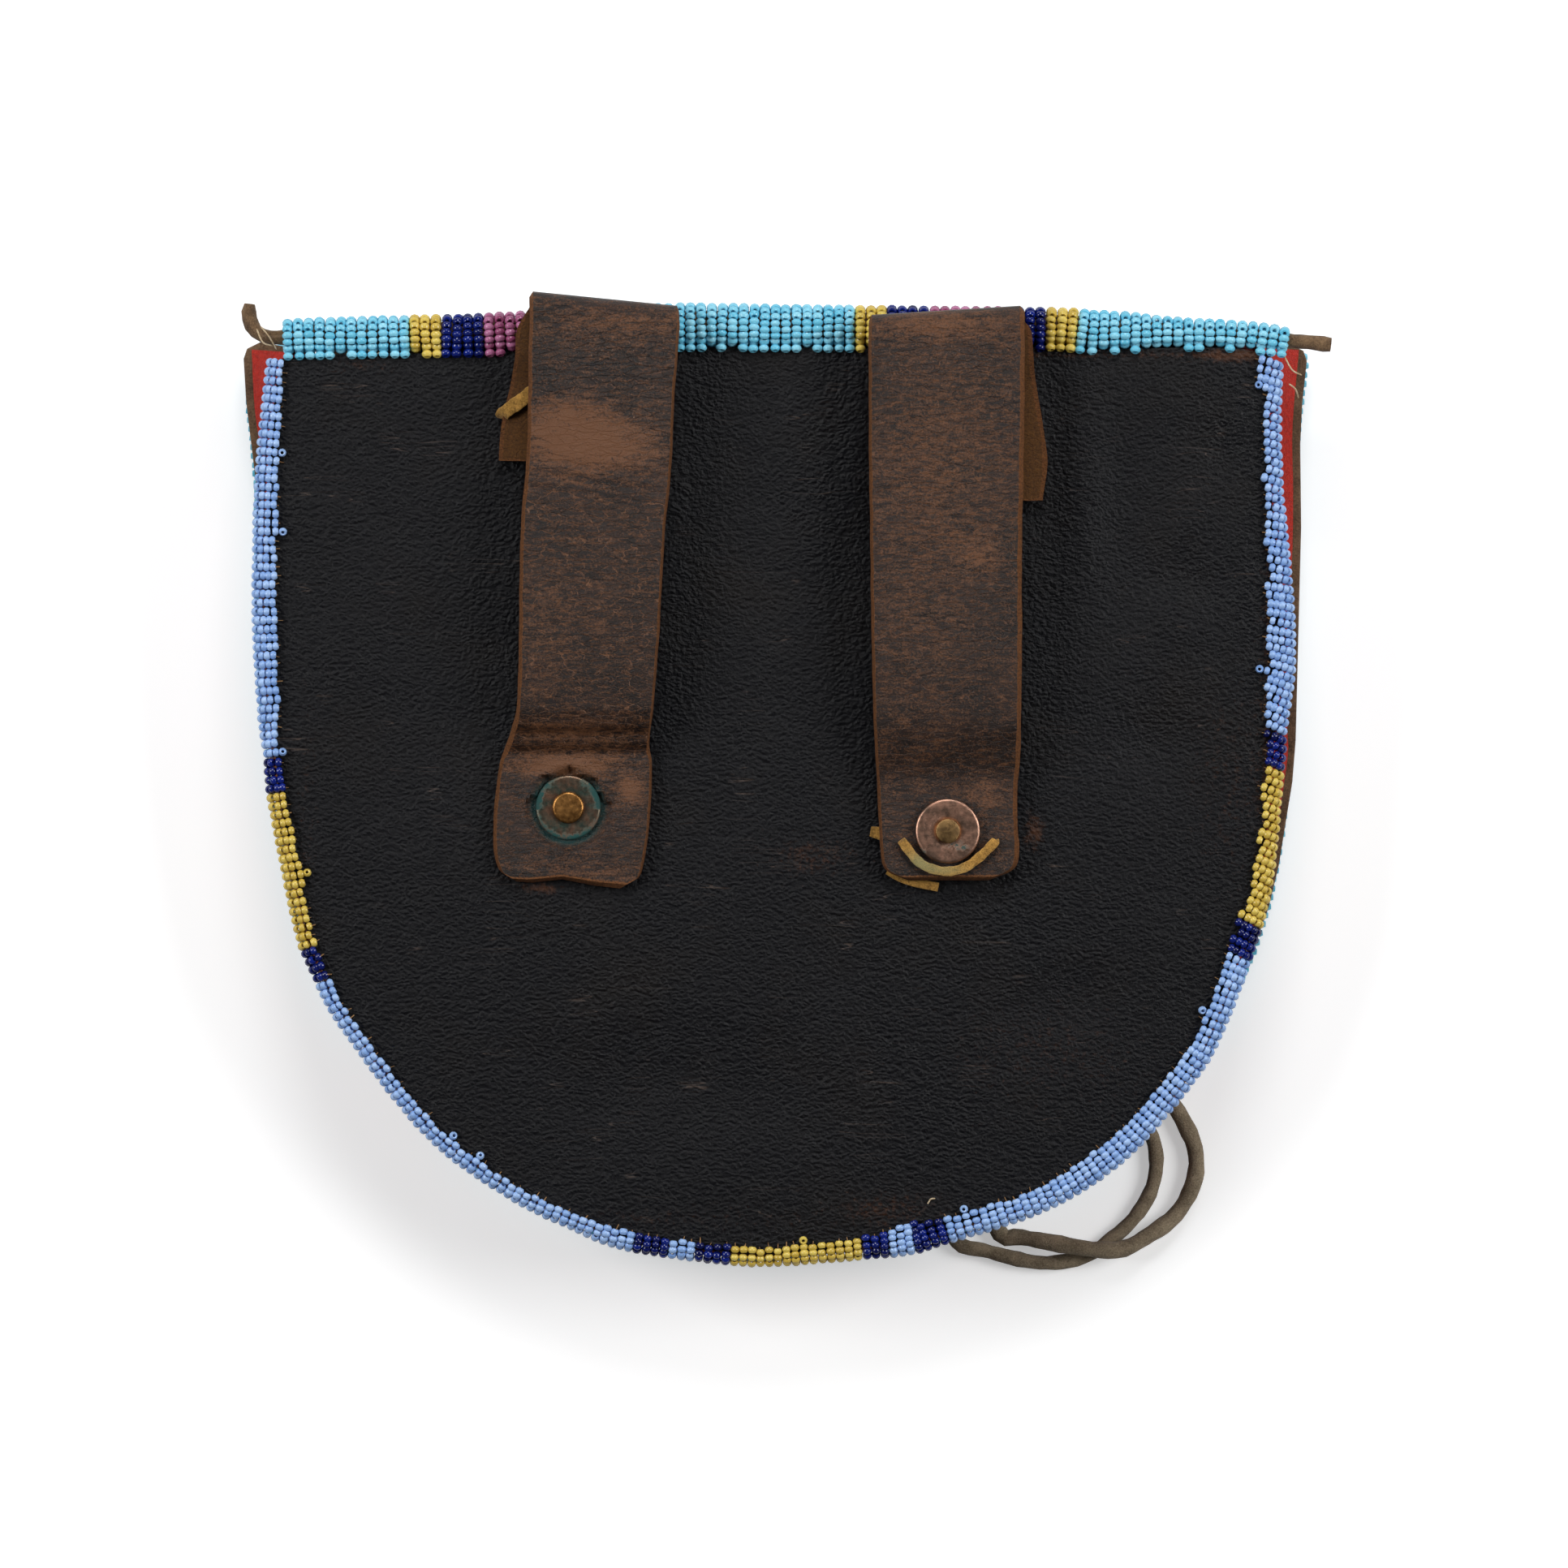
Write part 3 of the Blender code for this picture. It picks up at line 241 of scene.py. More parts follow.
def sweep(made, line, widths, thicknesses, sides=12, groove=0.0, twist=0.0, corners=1.0):
    """Draws a section along a line. Groove and twist make it a rolled strip, low corners a flat one."""
    line = [Vector(point) for point in line]
    widths = np.broadcast_to(widths, len(line))
    thicknesses = np.broadcast_to(thicknesses, len(line))
    places = []
    for i, point in enumerate(line):
        along = (line[min(i + 1, len(line) - 1)] - line[max(i - 1, 0)]).normalized()
        side = along.cross(Vector((0, 0, 1))).normalized()
        turn = Matrix((side, side.cross(along), along)).transposed().to_4x4()
        size = Matrix.Diagonal((widths[i] / 2, thicknesses[i] / 2, 1, 1))
        places.append(Matrix.Translation(point) @ turn @ size @ Matrix.Rotation(twist * i, 4, "Z"))
    ring = bmesh.ops.create_circle(made, cap_ends=True, segments=sides, radius=1)["verts"]
    for vert in ring:
        vert.co.x = math.copysign(abs(vert.co.x) ** corners, vert.co.x)
        vert.co.y = math.copysign(abs(vert.co.y) ** corners, vert.co.y)
    ring[0].co *= 1 - groove
    face = ring[0].link_faces[0]
    bmesh.ops.transform(made, matrix=places[0], verts=ring)
    for before, after in zip(places, places[1:]):
        grown = bmesh.ops.extrude_face_region(made, geom=[face])["geom"]
        face = next(item for item in grown if isinstance(item, bmesh.types.BMFace))
        bmesh.ops.transform(made, matrix=after @ before.inverted(), verts=face.verts)


def cut_widths(count, width, first=0.8, last=0.8):
    """Widths along a cut strip, uneven and drawn in a little at both ends."""
    uneven = [1 + 0.06 * math.sin(0.9 * i) + 0.04 * math.sin(2.3 * i + 1) for i in range(count)]
    widths = width * np.array(uneven)
    widths[0] *= first
    widths[-1] *= last
    return widths


thong_buckskin = suede("smoked_buckskin_thong", "A3937A", "5E5140", nap=0.3)
THONG_A = [
    (10.3, -45.8, 1.55), (11.0, -48.8, 1.55), (14.5, -55.0, 1.55), (22.5, -66.0, 1.55),
    (28.0, -78.0, 1.55), (32.7, -88.1, 1.55), (38.5, -90.1, 1.55), (46.1, -92.0, 1.55),
    (51.3, -92.4, 1.55), (57.3, -91.3, 1.55), (61.6, -88.7, 1.55), (66.8, -84.0, 1.55),
    (70.2, -78.5, 1.55), (71.2, -72.5, 1.55), (69.8, -66.9, 1.55), (66.0, -61.8, 1.55),
    (60.5, -58.8, 1.55), (54.0, -58.2, 1.55),
]
THONG_B = [
    (13.8, -42.0, 1.75), (17.3, -42.4, 1.75), (24.5, -48.0, 1.75), (31.5, -61.0, 1.75),
    (36.3, -75.0, 1.75), (41.1, -86.6, 1.75), (45.0, -87.4, 2.35), (50.4, -88.3, 3.95),
    (55.2, -89.1, 4.8), (59.5, -89.7, 4.8), (64.5, -89.6, 4.8), (68.9, -87.5, 3.55),
    (74.9, -83.2, 1.75), (78.4, -76.8, 1.75), (78.6, -70.7, 1.75), (76.3, -65.2, 1.75),
    (73.5, -60.8, 1.75), (69.0, -56.0, 1.75), (63.5, -52.5, 1.75), (57.0, -51.2, 1.75),
]
for name, route, width in (("tie_thong_a", THONG_A, 2.8 * MM), ("tie_thong_b", THONG_B, 3.2 * MM)):
    line = drawn(route, 90)
    strip = bmesh.new()
    sweep(strip, line, cut_widths(90, width), 0.94 * width, sides=14, groove=0.35, twist=0.05)
    thong = make_piece(name + "_buckskin", strip, thong_buckskin, name)


# Thong knot: both thongs are drawn through one hole in the front and knotted. The knot is two
# turns of the same strip pulled tight outside, a strand in the hole and a smaller turn inside.
def coil(centre, radius, low, high, turns, count):
    """Points of a strip wound round an upright axis."""
    points = []
    for i in range(count):
        angle = 2 * math.pi * turns * i / (count - 1)
        level = low + (high - low) * i / (count - 1)
        points.append((centre.x + radius * math.cos(angle), centre.y + radius * math.sin(angle), level))
    return points


low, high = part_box("tie_knot")
centre = (low + high) / 2
knot = bmesh.new()
sweep(knot, coil(centre, 2.2 * MM, low.z + 1.2 * MM, low.z + 1.9 * MM, 1.9, 40), 2.4 * MM, 2.2 * MM)
sweep(knot, coil(centre, 0.9 * MM, low.z + 0.9 * MM, high.z - 1.2 * MM, 0.8, 16), 1.3 * MM, 1.3 * MM)
sweep(knot, coil(centre, 1.5 * MM, high.z - 1.1 * MM, high.z - 0.9 * MM, 1.1, 24), 2.0 * MM, 1.7 * MM)
make_piece("tie_knot_buckskin", knot, thong_buckskin, "tie_knot")
knot_middle = centre


# Back panel: one U of black-dyed, oil-tanned leather 2.5 mm thick. Years against a belt left it
# pebbled, dented on the right, rubbed brown at its rim and below the straps, and scratched.
# The roll runs left to right: x, y, radius. The edge runs down the left, round and up the right:
# x, y, width of the bead band, how far the front's hide reaches out. All in mm on the drawing.
ROLL_LINE = [
    (-94.6, 83.5, 3.5), (-81.8, 83.9, 3.6), (-56.1, 84.4, 3.8), (-23.6, 85.8, 4.2), (6.9, 85.6, 4.1),
    (49.2, 85.5, 3.8), (58.1, 84.9, 3.9), (66.5, 84.8, 3.5), (74.4, 84.5, 2.9), (86.2, 84.1, 2.7),
    (95.1, 82.9, 2.6),
]
EDGE_LINE = [
    (-97.8, 79.4, 4.1, 5.4), (-98.9, 70.5, 4.6, 3.7), (-100.1, 56.8, 5.2, 0.7),
    (-100.6, 39.9, 5.4, -0.3), (-100.4, 24.6, 5.4, -0.3), (-99.4, 10.9, 4.6, -0.3),
    (-98.5, 4.9, 3.8, -0.4), (-97.7, -3.6, 4.4, -0.4), (-94.3, -21.2, 4.4, -0.4),
    (-92.0, -31.0, 3.9, -0.4), (-89.3, -37.1, 3.7, -0.5), (-84.8, -45.8, 3.7, -0.6),
    (-68.3, -67.1, 3.7, -0.7), (-53.0, -78.7, 3.8, -0.7), (-40.8, -84.9, 4.0, -0.7),
    (-30.1, -89.0, 4.5, -0.7), (-12.5, -91.5, 4.3, -0.7), (-2.5, -92.0, 4.4, -0.7),
    (13.4, -90.8, 4.8, -0.7), (24.3, -89.7, 6.7, -0.7), (30.8, -87.7, 5.7, -0.7),
    (49.6, -81.5, 5.5, -0.7), (64.8, -71.7, 5.8, -0.6), (78.0, -56.6, 5.5, -0.5),
    (83.2, -47.4, 5.2, -0.3), (88.5, -33.5, 5.6, 0.5), (92.3, -19.6, 4.7, 1.3),
    (94.6, 3.1, 4.5, 2.8), (95.1, 9.9, 4.8, 2.4), (96.5, 20.0, 6.0, 1.3), (96.5, 30.9, 6.0, 1.4),
    (95.4, 44.6, 5.0, 3.1), (94.3, 55.2, 4.1, 4.3), (94.0, 67.5, 4.0, 4.5), (94.3, 78.0, 5.2, 5.4),
]
PANEL_INSET = 2.6 * MM
PANEL_CELL = 1.5 * MM
DEEPEST, HIGHEST = -1.6, 0.1
# Paint on the grain side only: above this level in mm
GRAIN_SIDE = 24
PANEL_THICK = panel_high.z - panel_low.z
# Dents and swells: x, y, half width, half height, how far up or down, in mm
PANEL_FORMS = [
    (83, 74, 9, 8, 0.55), (84, 62, 5, 10, -0.5), (57, 55, 3.2, 16, 0.8), (50, 52, 7, 20, -0.5),
    (64, 48, 8, 22, -0.9), (76, 38, 8, 7, -0.8), (75, 33, 5, 5, 0.35), (7, 68, 8, 16, 0.9),
    (-6, 60, 10, 26, -0.6), (18, 55, 7, 24, -0.5), (70, 8, 10, 8, -0.6), (88, 30, 3, 40, 0.45),
    (45, -28, 15, 9, 0.5), (52, -40, 12, 8, -0.5), (-30, -35, 26, 12, 0.5), (-20, -55, 30, 12, -0.5),
    (25, -55, 16, 20, 0.5), (-66, 20, 14, 34, -0.5), (-66, -20, 16, 14, 0.35), (8, -12, 14, 14, 0.4),
]


def with_normals(line, side=1):
    """The rows of a flat curve with the unit normal on its right added, or on its left for -1."""
    along = np.gradient(line[:, :2], axis=0)
    along /= np.linalg.norm(along, axis=1)[:, None]
    return np.column_stack([line, side * along[:, 1], -side * along[:, 0]])


def stations_on(rows, count):
    """Evenly spaced rows in metres on a curve given in mm on the drawing, with its right normals."""
    rows = np.array(rows) * MM
    rows[:, :2] += np.array(DRAWING_ORIGIN)[:2]
    return with_normals(smooth_line(rows, count, 2))


def top_edge_y(x):
    """Where the panel stops below the roll, in mm on the drawing."""
    roll = np.array(ROLL_LINE)
    return np.interp(x, roll[:, 0], roll[:, 1] - roll[:, 2]) - 0.3


def edge_stations(count, spare=0.0):
    """Rows along the U in metres: x, y, band, hide reach, outward normal. Spare runs on upwards."""
    rows = np.array(EDGE_LINE)
    for end in (0, -1):
        rows[end, 1] = top_edge_y(rows[end, 0]) + spare
    return stations_on(rows, count)


def cut_cells(made, cell):
    """Cuts a mesh along a square grid of upright planes, so that it can be bent."""
    for axis in (0, 1):
        places = [vert.co[axis] for vert in made.verts]
        across = Vector((1 - axis, axis, 0))
        for place in np.arange(min(places) + cell, max(places), cell):
            everything = [*made.verts, *made.edges, *made.faces]
            bmesh.ops.bisect_plane(
                made, geom=everything, dist=1e-7, plane_co=across * place, plane_no=across)


def hill(x, y, form):
    """The share of a soft round form at a place."""
    return math.exp(-((x - form[0]) / form[2]) ** 2 - ((y - form[1]) / form[3]) ** 2)


def ruled_grid(columns, rows, shares=()):
    """A grid to be bent: (mesh, its up layer, each vertex with its column and row). Shares name layers."""
    made = bmesh.new()
    bmesh.ops.create_grid(made, x_segments=columns, y_segments=rows, size=0.5)
    up = made.verts.layers.float_vector.new("up")
    for name in shares:
        made.verts.layers.float.new(name)
    places = []
    for vert in made.verts:
        places.append((vert, round((vert.co.x + 0.5) * columns), round((vert.co.y + 0.5) * rows)))
    return made, up, places


def thicken(made, thickness):
    """Gives a sheet its thickness, against its vertices' own up direction: the new vertices."""
    up = made.verts.layers.float_vector["up"]
    grown = bmesh.ops.extrude_face_region(made, geom=list(made.faces))["geom"]
    grown = [item for item in grown if isinstance(item, bmesh.types.BMVert)]
    for vert in grown:
        vert.co -= vert[up] * thickness
    bmesh.ops.recalc_face_normals(made, faces=list(made.faces))
    return grown


def paint(piece, name, share_at):
    """Writes a share from 0 to 1 on a piece's vertices. share_at takes their x, y, z in mm."""
    places = np.zeros(3 * len(piece.data.vertices), np.float32)
    piece.data.vertices.foreach_get("co", places)
    share = np.clip(share_at(*(places.reshape(-1, 3).T / MM)), 0, 1)
    piece.data.attributes.new(name, "FLOAT", "POINT").data.foreach_set("value", share.astype(np.float32))


def patches(rows, above=-1.0):
    """Soft round patches for paint: x, y, half width, half height, strength, in mm."""
    def share_at(x, y, z):
        share = 0
        for at_x, at_y, wide, tall, strength in rows:
            share = share + strength * np.exp(-((x - at_x) / wide) ** 2 - ((y - at_y) / tall) ** 2)
        return np.where(z < above, 0, share)
    return share_at


def black_leather():
    """Oil-tanned leather dyed black: finely pebbled, a gloss on each pebble, brown under its rubs."""
    made, place = start_material("black_oil_tanned_leather", {"IOR": 1.5, "Specular IOR Level": 0.2})
    bent = swayed(place, stretched(place, 0.5, (1.0, 1.4, 1.0)), 4 * MM, 0.002)
    pebbles = add_node(place, "TexVoronoi", {"Vector": bent, "Scale": 1 / (0.8 * MM)}, feature="SMOOTH_F1")
    fine = speckle(place, 0.3 * MM, 3.0)
    wide = speckle(place, 22 * MM, 5.0)
    rub = painted(place, "rubbed")
    polish = painted(place, "polished")
    fleck = speckle(place, 0.9 * MM, 8.0, 0.8)
    worn = ramp(work_out("MULTIPLY_ADD", rub, 0.34, fleck), 0.64, 0.86)
    colour = tint(ramp(wide, 0.5, 0.75), "07070B", "0D0A0A")
    colour = tint(worn, colour, "4A2E1E")
    streaks = speckle(stretched(place, 0.32, (0.05, 1, 1)), 3.2 * MM, 2.0)
    line = work_out("COMPARE", streaks, 0.5, 0.003)
    broken = ramp(speckle(place, 12 * MM, 2.0), 0.56, 0.62, 0.0, 0.4)
    colour = tint(work_out("MULTIPLY", line, broken), colour, "5E5048")
    rough = work_out("MULTIPLY_ADD", polish, -0.12, ramp(fine, 0.3, 0.7, 0.34, 0.48))
    domes = work_out("MULTIPLY", pebbles.outputs[0], -1.0)
    height = work_out("MULTIPLY_ADD", fine, -0.5, domes)
    return wire(made, Base_Color=colour, Roughness=rough, Normal=relief_from(height, 1.0, 0.3 * MM))


stations = edge_stations(120)
outline = [tuple(point) for point in stations[:, :2] - stations[:, -2:] * PANEL_INSET]
top_left, top_right = outline[0][0], outline[-1][0]
for x, y, radius, *_ in stations_on(ROLL_LINE, 60)[::-3]:
    if top_left + 2 * MM < x < top_right - 2 * MM:
        outline.append((x, y - radius - 0.05 * MM))
panel = bmesh.new()
panel.faces.new([panel.verts.new((x, y, 0)) for x, y in outline])
cut_cells(panel, PANEL_CELL)
up = panel.verts.layers.float_vector.new("up")
for vert in panel.verts:
    x, y = vert.co.x / MM, vert.co.y / MM
    rise = sum(form[4] * hill(x, y, form) for form in PANEL_FORMS)
    rise += 0.25 * noise.noise(vert.co * 60) + 0.1 * noise.noise(vert.co * 170)
    vert.co.z = panel_high.z + max(DEEPEST, min(rise, HIGHEST)) * MM
    vert[up] = (0, 0, 1)
thicken(panel, PANEL_THICK)
panel = make_piece("back_panel_leather", panel, black_leather(), "back_panel")
paint(panel, "rubbed", patches([
    (86, 80.5, 7, 1.4, 1.1), (60, 81, 30, 0.9, 0.6), (91, 20, 1.5, 50, 0.5), (84, 0, 8, 22, 0.35),
    (5, -14, 10, 4, 0.5), (20, -80, 12, 4, 0.45), (50, -50, 24, 12, 0.3), (-46, -19.8, 4, 1.2, 1.0),
    (47, -9, 2, 4, 0.9), (-80, 79, 8, 2, 0.4), (-90, -8, 2, 30, 0.3), (-20, -82, 30, 3, 0.3),
], above=GRAIN_SIDE))
paint(panel, "polished", patches([
    (82, 68, 9, 9, 1.0), (56, 55, 5, 18, 0.9), (75, 38, 10, 8, 0.9), (70, 12, 16, 10, 0.6),
    (6, 60, 8, 20, 0.8), (40, -30, 24, 16, 0.7), (-30, -45, 30, 20, 0.5), (20, -60, 24, 14, 0.6),
    (88, 40, 3, 40, 0.8),
]))


# Gusset: a strip of red trade wool between the back and the hide front, sewn to both and folded
# inwards along its middle. It shows beside the beads at both top corners and down the right.
GUSSET_WOOL = 1.2 * MM
GUSSET_ROWS = 300
GUSSET_ACROSS = 12
SEAM_GAP = 0.3 * MM
FRONT_SEAM = 1.6 * MM
BACK_SEAM = PANEL_INSET + 2.0 * MM
FOLD_DEPTH = 4.0 * MM
FOLD_SWAY = 0.6 * MM
hide_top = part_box("front_panel")[1].z


def red_wool():
    """Fulled plain-woven wool: a dense, dull nap with the weave only just showing."""
    made, place = start_material(
        "red_fulled_wool", {"Roughness": 0.95, "Specular IOR Level": 0.2, "Sheen Weight": 0.3})
    fluff = speckle(place, 0.7 * MM, 6.0, 0.75)
    colour = tint(ramp(fluff, 0.3, 0.7), "8A170B", "CC2A16")
    return wire(made, Base_Color=colour, Normal=relief_from(fluff, 0.8, 0.5 * MM))


gusset_rows = edge_stations(GUSSET_ROWS, spare=2.0)
low, high = hide_top + SEAM_GAP, panel_low.z - SEAM_GAP
wool, up, places = ruled_grid(GUSSET_ROWS - 1, GUSSET_ACROSS)
for vert, index, across in places:
    row = gusset_rows[index]
    share = across / GUSSET_ACROSS
    outward = Vector((row[-2], row[-1], 0))
    front = FRONT_SEAM - row[3]
    fold = max(front, BACK_SEAM) + FOLD_DEPTH
    quarter = 0.3 * (high - low)
    line = smooth_line([
        (front, low), (0.4 * front + 0.6 * fold, low + quarter), (fold, (low + high) / 2),
        (0.4 * BACK_SEAM + 0.6 * fold, high - quarter), (BACK_SEAM, high)], GUSSET_ACROSS + 1, 2)
    distance, level = line[across]
    point = Vector((row[0], row[1], level)) - outward * distance
    point += outward * FOLD_SWAY * math.sin(math.pi * share) * noise.noise(point * 90)
    vert.co = point
    vert[up] = outward
gusset_area = sum(face.calc_area() for face in wool.faces)
thicken(wool, GUSSET_WOOL)
gusset = make_piece("gusset_wool", wool, red_wool(), "gusset", crease=60)


# Front and flap: two pieces of brown smoked hide 1.5 mm thick, supple, with rounded cut rims. Only
# the rims show from the back; the flap hangs from the roll and closes the mouth.
front_hide = suede("brown_smoked_hide", "7A6048", "3E2C20", nap=0.4)
HIDE_CELL = 4 * MM
HIDE_RIM = 0.35 * MM
# The flap's fold, and where it starts to follow the roll and has fully done so, up the drawing in mm
FLAP_FOLD = 90.0
BOW_FROM = 60
BOW_FULL = 74


def worn_copy(node):
    """A copy of a hide's solid, its rims rounded and its faces cut into cells and made uneven."""
    made = bmesh.new()
    made.from_mesh(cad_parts[node].data)
    bmesh.ops.remove_doubles(made, verts=made.verts, dist=1e-5)
    bmesh.ops.dissolve_limit(made, angle_limit=math.radians(2), verts=made.verts, edges=made.edges)
    sharp = math.radians(55)
    rims = [edge for edge in made.edges if edge.is_manifold and edge.calc_face_angle() > sharp]
    bmesh.ops.bevel(made, geom=rims, offset=HIDE_RIM, segments=2, profile=0.5, affect="EDGES")
    cut_cells(made, HIDE_CELL)
    for vert in made.verts:
        vert.co.z += 0.12 * MM * noise.noise(vert.co * 60)
    return made


def flap_bow(x, y):
    """How far the flap lies back at its fold, to follow the roll's line, in metres."""
    roll = np.array(ROLL_LINE)
    tops = np.interp((x - DRAWING_ORIGIN.x) / MM, roll[:, 0], roll[:, 1] + roll[:, 2])
    return (tops - FLAP_FOLD) * MM * min(1, max(0, (y / MM - BOW_FROM) / (BOW_FULL - BOW_FROM)))


for node, body in (("front_panel", "pouch"), ("flap", "flap")):
    made = worn_copy(node)
    if node == "flap":
        for vert in made.verts:
            vert.co.y += flap_bow(vert.co.x, vert.co.y)
    make_piece(node + "_hide", made, front_hide, node, body)


# Bead edging: opaque glass seed beads sewn over the panel's edge. Each row lies on the leather,
# turns over the edge and ends underneath; the thread comes up through the leather at its inner
# end. On the right the rows slope down as they go over.
EDGING_BLOCKS = [
    ("blue", 45), ("navy", 4), ("yellow", 18), ("navy", 4), ("blue", 48), ("navy", 4), ("blue", 3),
    ("navy", 4), ("yellow", 15), ("navy", 3), ("blue", 3), ("navy", 4), ("blue", 49), ("navy", 4),
    ("yellow", 18), ("navy", 4), ("blue", 42),
]
EDGE_BEAD_WIDE = 1.66 * MM
EDGE_BEAD_LONG = 1.10 * MM
# Where along the U the rows start to slope, and the share in which they fully come to it
SLOPING_FROM = 0.72
SLOPING_OVER = 0.06
SLOPE = 1.6 * MM
# The shares of rows that start late, and that end in a bead standing askew
SHORT_ROWS = 0.35
TILTED_BEADS = 0.025
chance = np.random.default_rng(7)


def seed_bead(name, wide, long, hole, sides):
    """One glass bead on an upright thread: a ring with rounded ends."""
    radius = wide / 2
    profile = [(0.66 * radius, -0.5 * long), (radius, 0), (0.66 * radius, 0.5 * long)]
    if hole:
        profile = [
            (0.40 * radius, -0.42 * long), (0.66 * radius, -0.50 * long), (radius, -0.17 * long),
            (radius, 0.17 * long), (0.66 * radius, 0.50 * long), (0.40 * radius, 0.42 * long)]
    made = bmesh.new()
    verts = [made.verts.new((r, 0, z)) for r, z in profile]
    edges = [made.edges.new(pair) for pair in zip(verts, verts[1:])]
    if hole:
        edges.append(made.edges.new((verts[-1], verts[0])))
    bmesh.ops.spin(made, geom=[*verts, *edges], cent=(0, 0, 0), axis=(0, 0, 1), angle=2 * math.pi,
                   steps=sides, use_merge=True)
    bmesh.ops.remove_doubles(made, verts=made.verts, dist=1e-7)
    if not hole:
        bmesh.ops.holes_fill(made, edges=made.edges, sides=sides)
    bmesh.ops.recalc_face_normals(made, faces=made.faces)
    return mesh_from(name, made)


def bead_place(point, thread, swell=1.0):
    """Where one bead goes, with its hole along the thread."""
    turn = Vector(thread).to_track_quat("Z", "Y").to_matrix().to_4x4()
    return Matrix.Translation(Vector(point)) @ turn @ Matrix.Diagonal((swell, swell, swell, 1))


def hand_strung(point, thread, jog, sway, uneven):
    """bead_place with the bead, its thread and its size a little off."""
    point = point + Vector(chance.normal(0, jog, 3))
    way = thread + Vector(chance.normal(0, sway, 3))
    return bead_place(point, way, chance.normal(1.0, uneven))


def string_beads(name, bead, places, colour, node, body="pouch"):
    """One piece of many beads of one glass. Each carries its own random share, which varies it."""
    base = np.zeros(3 * len(bead.vertices), np.float32)
    bead.vertices.foreach_get("co", base)
    base = base.reshape(-1, 3)
    copied = bead.copy()
    made = bmesh.new()
    for place in places:
        turn = np.array(place)
        moved = base @ turn[:3, :3].T + turn[:3, 3]
        copied.vertices.foreach_set("co", moved.astype(np.float32).ravel())
        made.from_mesh(copied)
    bpy.data.meshes.remove(copied)
    piece = make_piece(name, made, glasses[colour], node, body, crease=60)
    shares = np.repeat(chance.random(len(places)), len(base)).astype(np.float32)
    piece.data.attributes.new("bead", "FLOAT", "POINT").data.foreach_set("value", shares)


def bead_glass(name, pale, deep, rough=0.2, row_of=None):
    """Opaque drawn glass: each bead a little paler or deeper, a wet gloss, dirt between the beads."""
    made, place = start_material(name, {"Roughness": rough, "IOR": 1.52})
    share = painted(place, "bead")
    dirt = ramp(speckle(place, 1.1 * MM, 5.0, 0.7), 0.64, 0.82, 0.0, 0.25)
    colour = tint(dirt, tint(share, deep, pale), "4A4038")
    if row_of is None:
        return wire(made, Base_Color=colour)
    sockets = {"Vector": place, "Scale": math.pi / (10 * row_of)}
    bands = add_node(place, "TexWave", sockets, wave_type="BANDS").outputs["Fac"]
    return wire(made, Base_Color=colour, Normal=relief_from(bands, 1.0, 0.5 * MM))


def edge_row(station, lean):
    """Bead centres and thread directions of one row, from its inner end over the edge and under."""
    x, y, band, _, out_x, out_y = station
    out, along = Vector((out_x, out_y, 0)), Vector((-out_y, out_x, 0))
    on_top, below = panel_high.z + 0.5 * EDGE_BEAD_WIDE, panel_low.z - 0.3 * MM
    section = [
        (band - 0.55 * MM, on_top), (2.5 * MM, on_top), (1.45 * MM, on_top - 0.2 * MM),
        (0.95 * MM, on_top - 0.9 * MM), (0.85 * MM, on_top - 1.9 * MM), (1.0 * MM, below + 0.5 * MM),
        (1.6 * MM, below - 0.1 * MM), (2.4 * MM, below - 0.25 * MM),
    ]
    run = sum(math.dist(a, b) for a, b in zip(section, section[1:]))
    line = smooth_line(section, max(5, round(run / EDGE_BEAD_LONG)) + 1, 2)
    points = []
    for distance, level in line:
        shift = lean * max(0.0, 1 - distance / band) ** 1.3
        points.append(Vector((x, y, level)) - out * distance - along * shift)
    return [((a + b) / 2, b - a) for a, b in zip(points, points[1:])]


glasses = {
    "blue": bead_glass("periwinkle_bead_glass", "A3C2EE", "7FA4DC"),
    "navy": bead_glass("navy_bead_glass", "12257E", "080F48", rough=0.12),
    "yellow": bead_glass("mustard_bead_glass", "DEC560", "C4A643"),
    "turquoise": bead_glass("turquoise_bead_glass", "90D6EC", "62BEDC"),
    "pink": bead_glass("rose_bead_glass", "BA749C", "8E4068"),
}
edge_bead = seed_bead("edge_bead", EDGE_BEAD_WIDE, EDGE_BEAD_LONG, hole=True, sides=10)
edge_count = sum(count for _, count in EDGING_BLOCKS)
edge_middles = edge_stations(2 * edge_count + 1)[1::2]
row_number = 0
thread_ends = []
for number, (colour, count) in enumerate(EDGING_BLOCKS, 1):
    places = []
    for station in edge_middles[row_number:row_number + count]:
        share = row_number / edge_count
        sloping = min(1, max(0, (share - SLOPING_FROM) / SLOPING_OVER))
        station = station.copy()
        station[2] += chance.normal(0, (0.12 + 0.23 * sloping) * MM)
        row = edge_row(station, SLOPE * sloping)
        if chance.random() < SHORT_ROWS:
            row[0] = (row[0][0] - row[0][1] * 0.25, row[0][1])
        for point, thread in row:
            places.append(hand_strung(point, thread, 0.035 * MM, 0.07 * MM, 0.035))
        inner, thread = row[0]
        thread_ends.append((inner, -thread))
        if chance.random() < TILTED_BEADS:
            tilted = Vector((chance.normal(0, 0.3), chance.normal(0, 0.3), 1))
            places.append(bead_place(inner - thread * 1.2, tilted, 0.95))
        row_number += 1
    block = f"{number:02d}_{colour}"
    string_beads("edge_beads_" + block, edge_bead, places, colour, "edging_" + block)


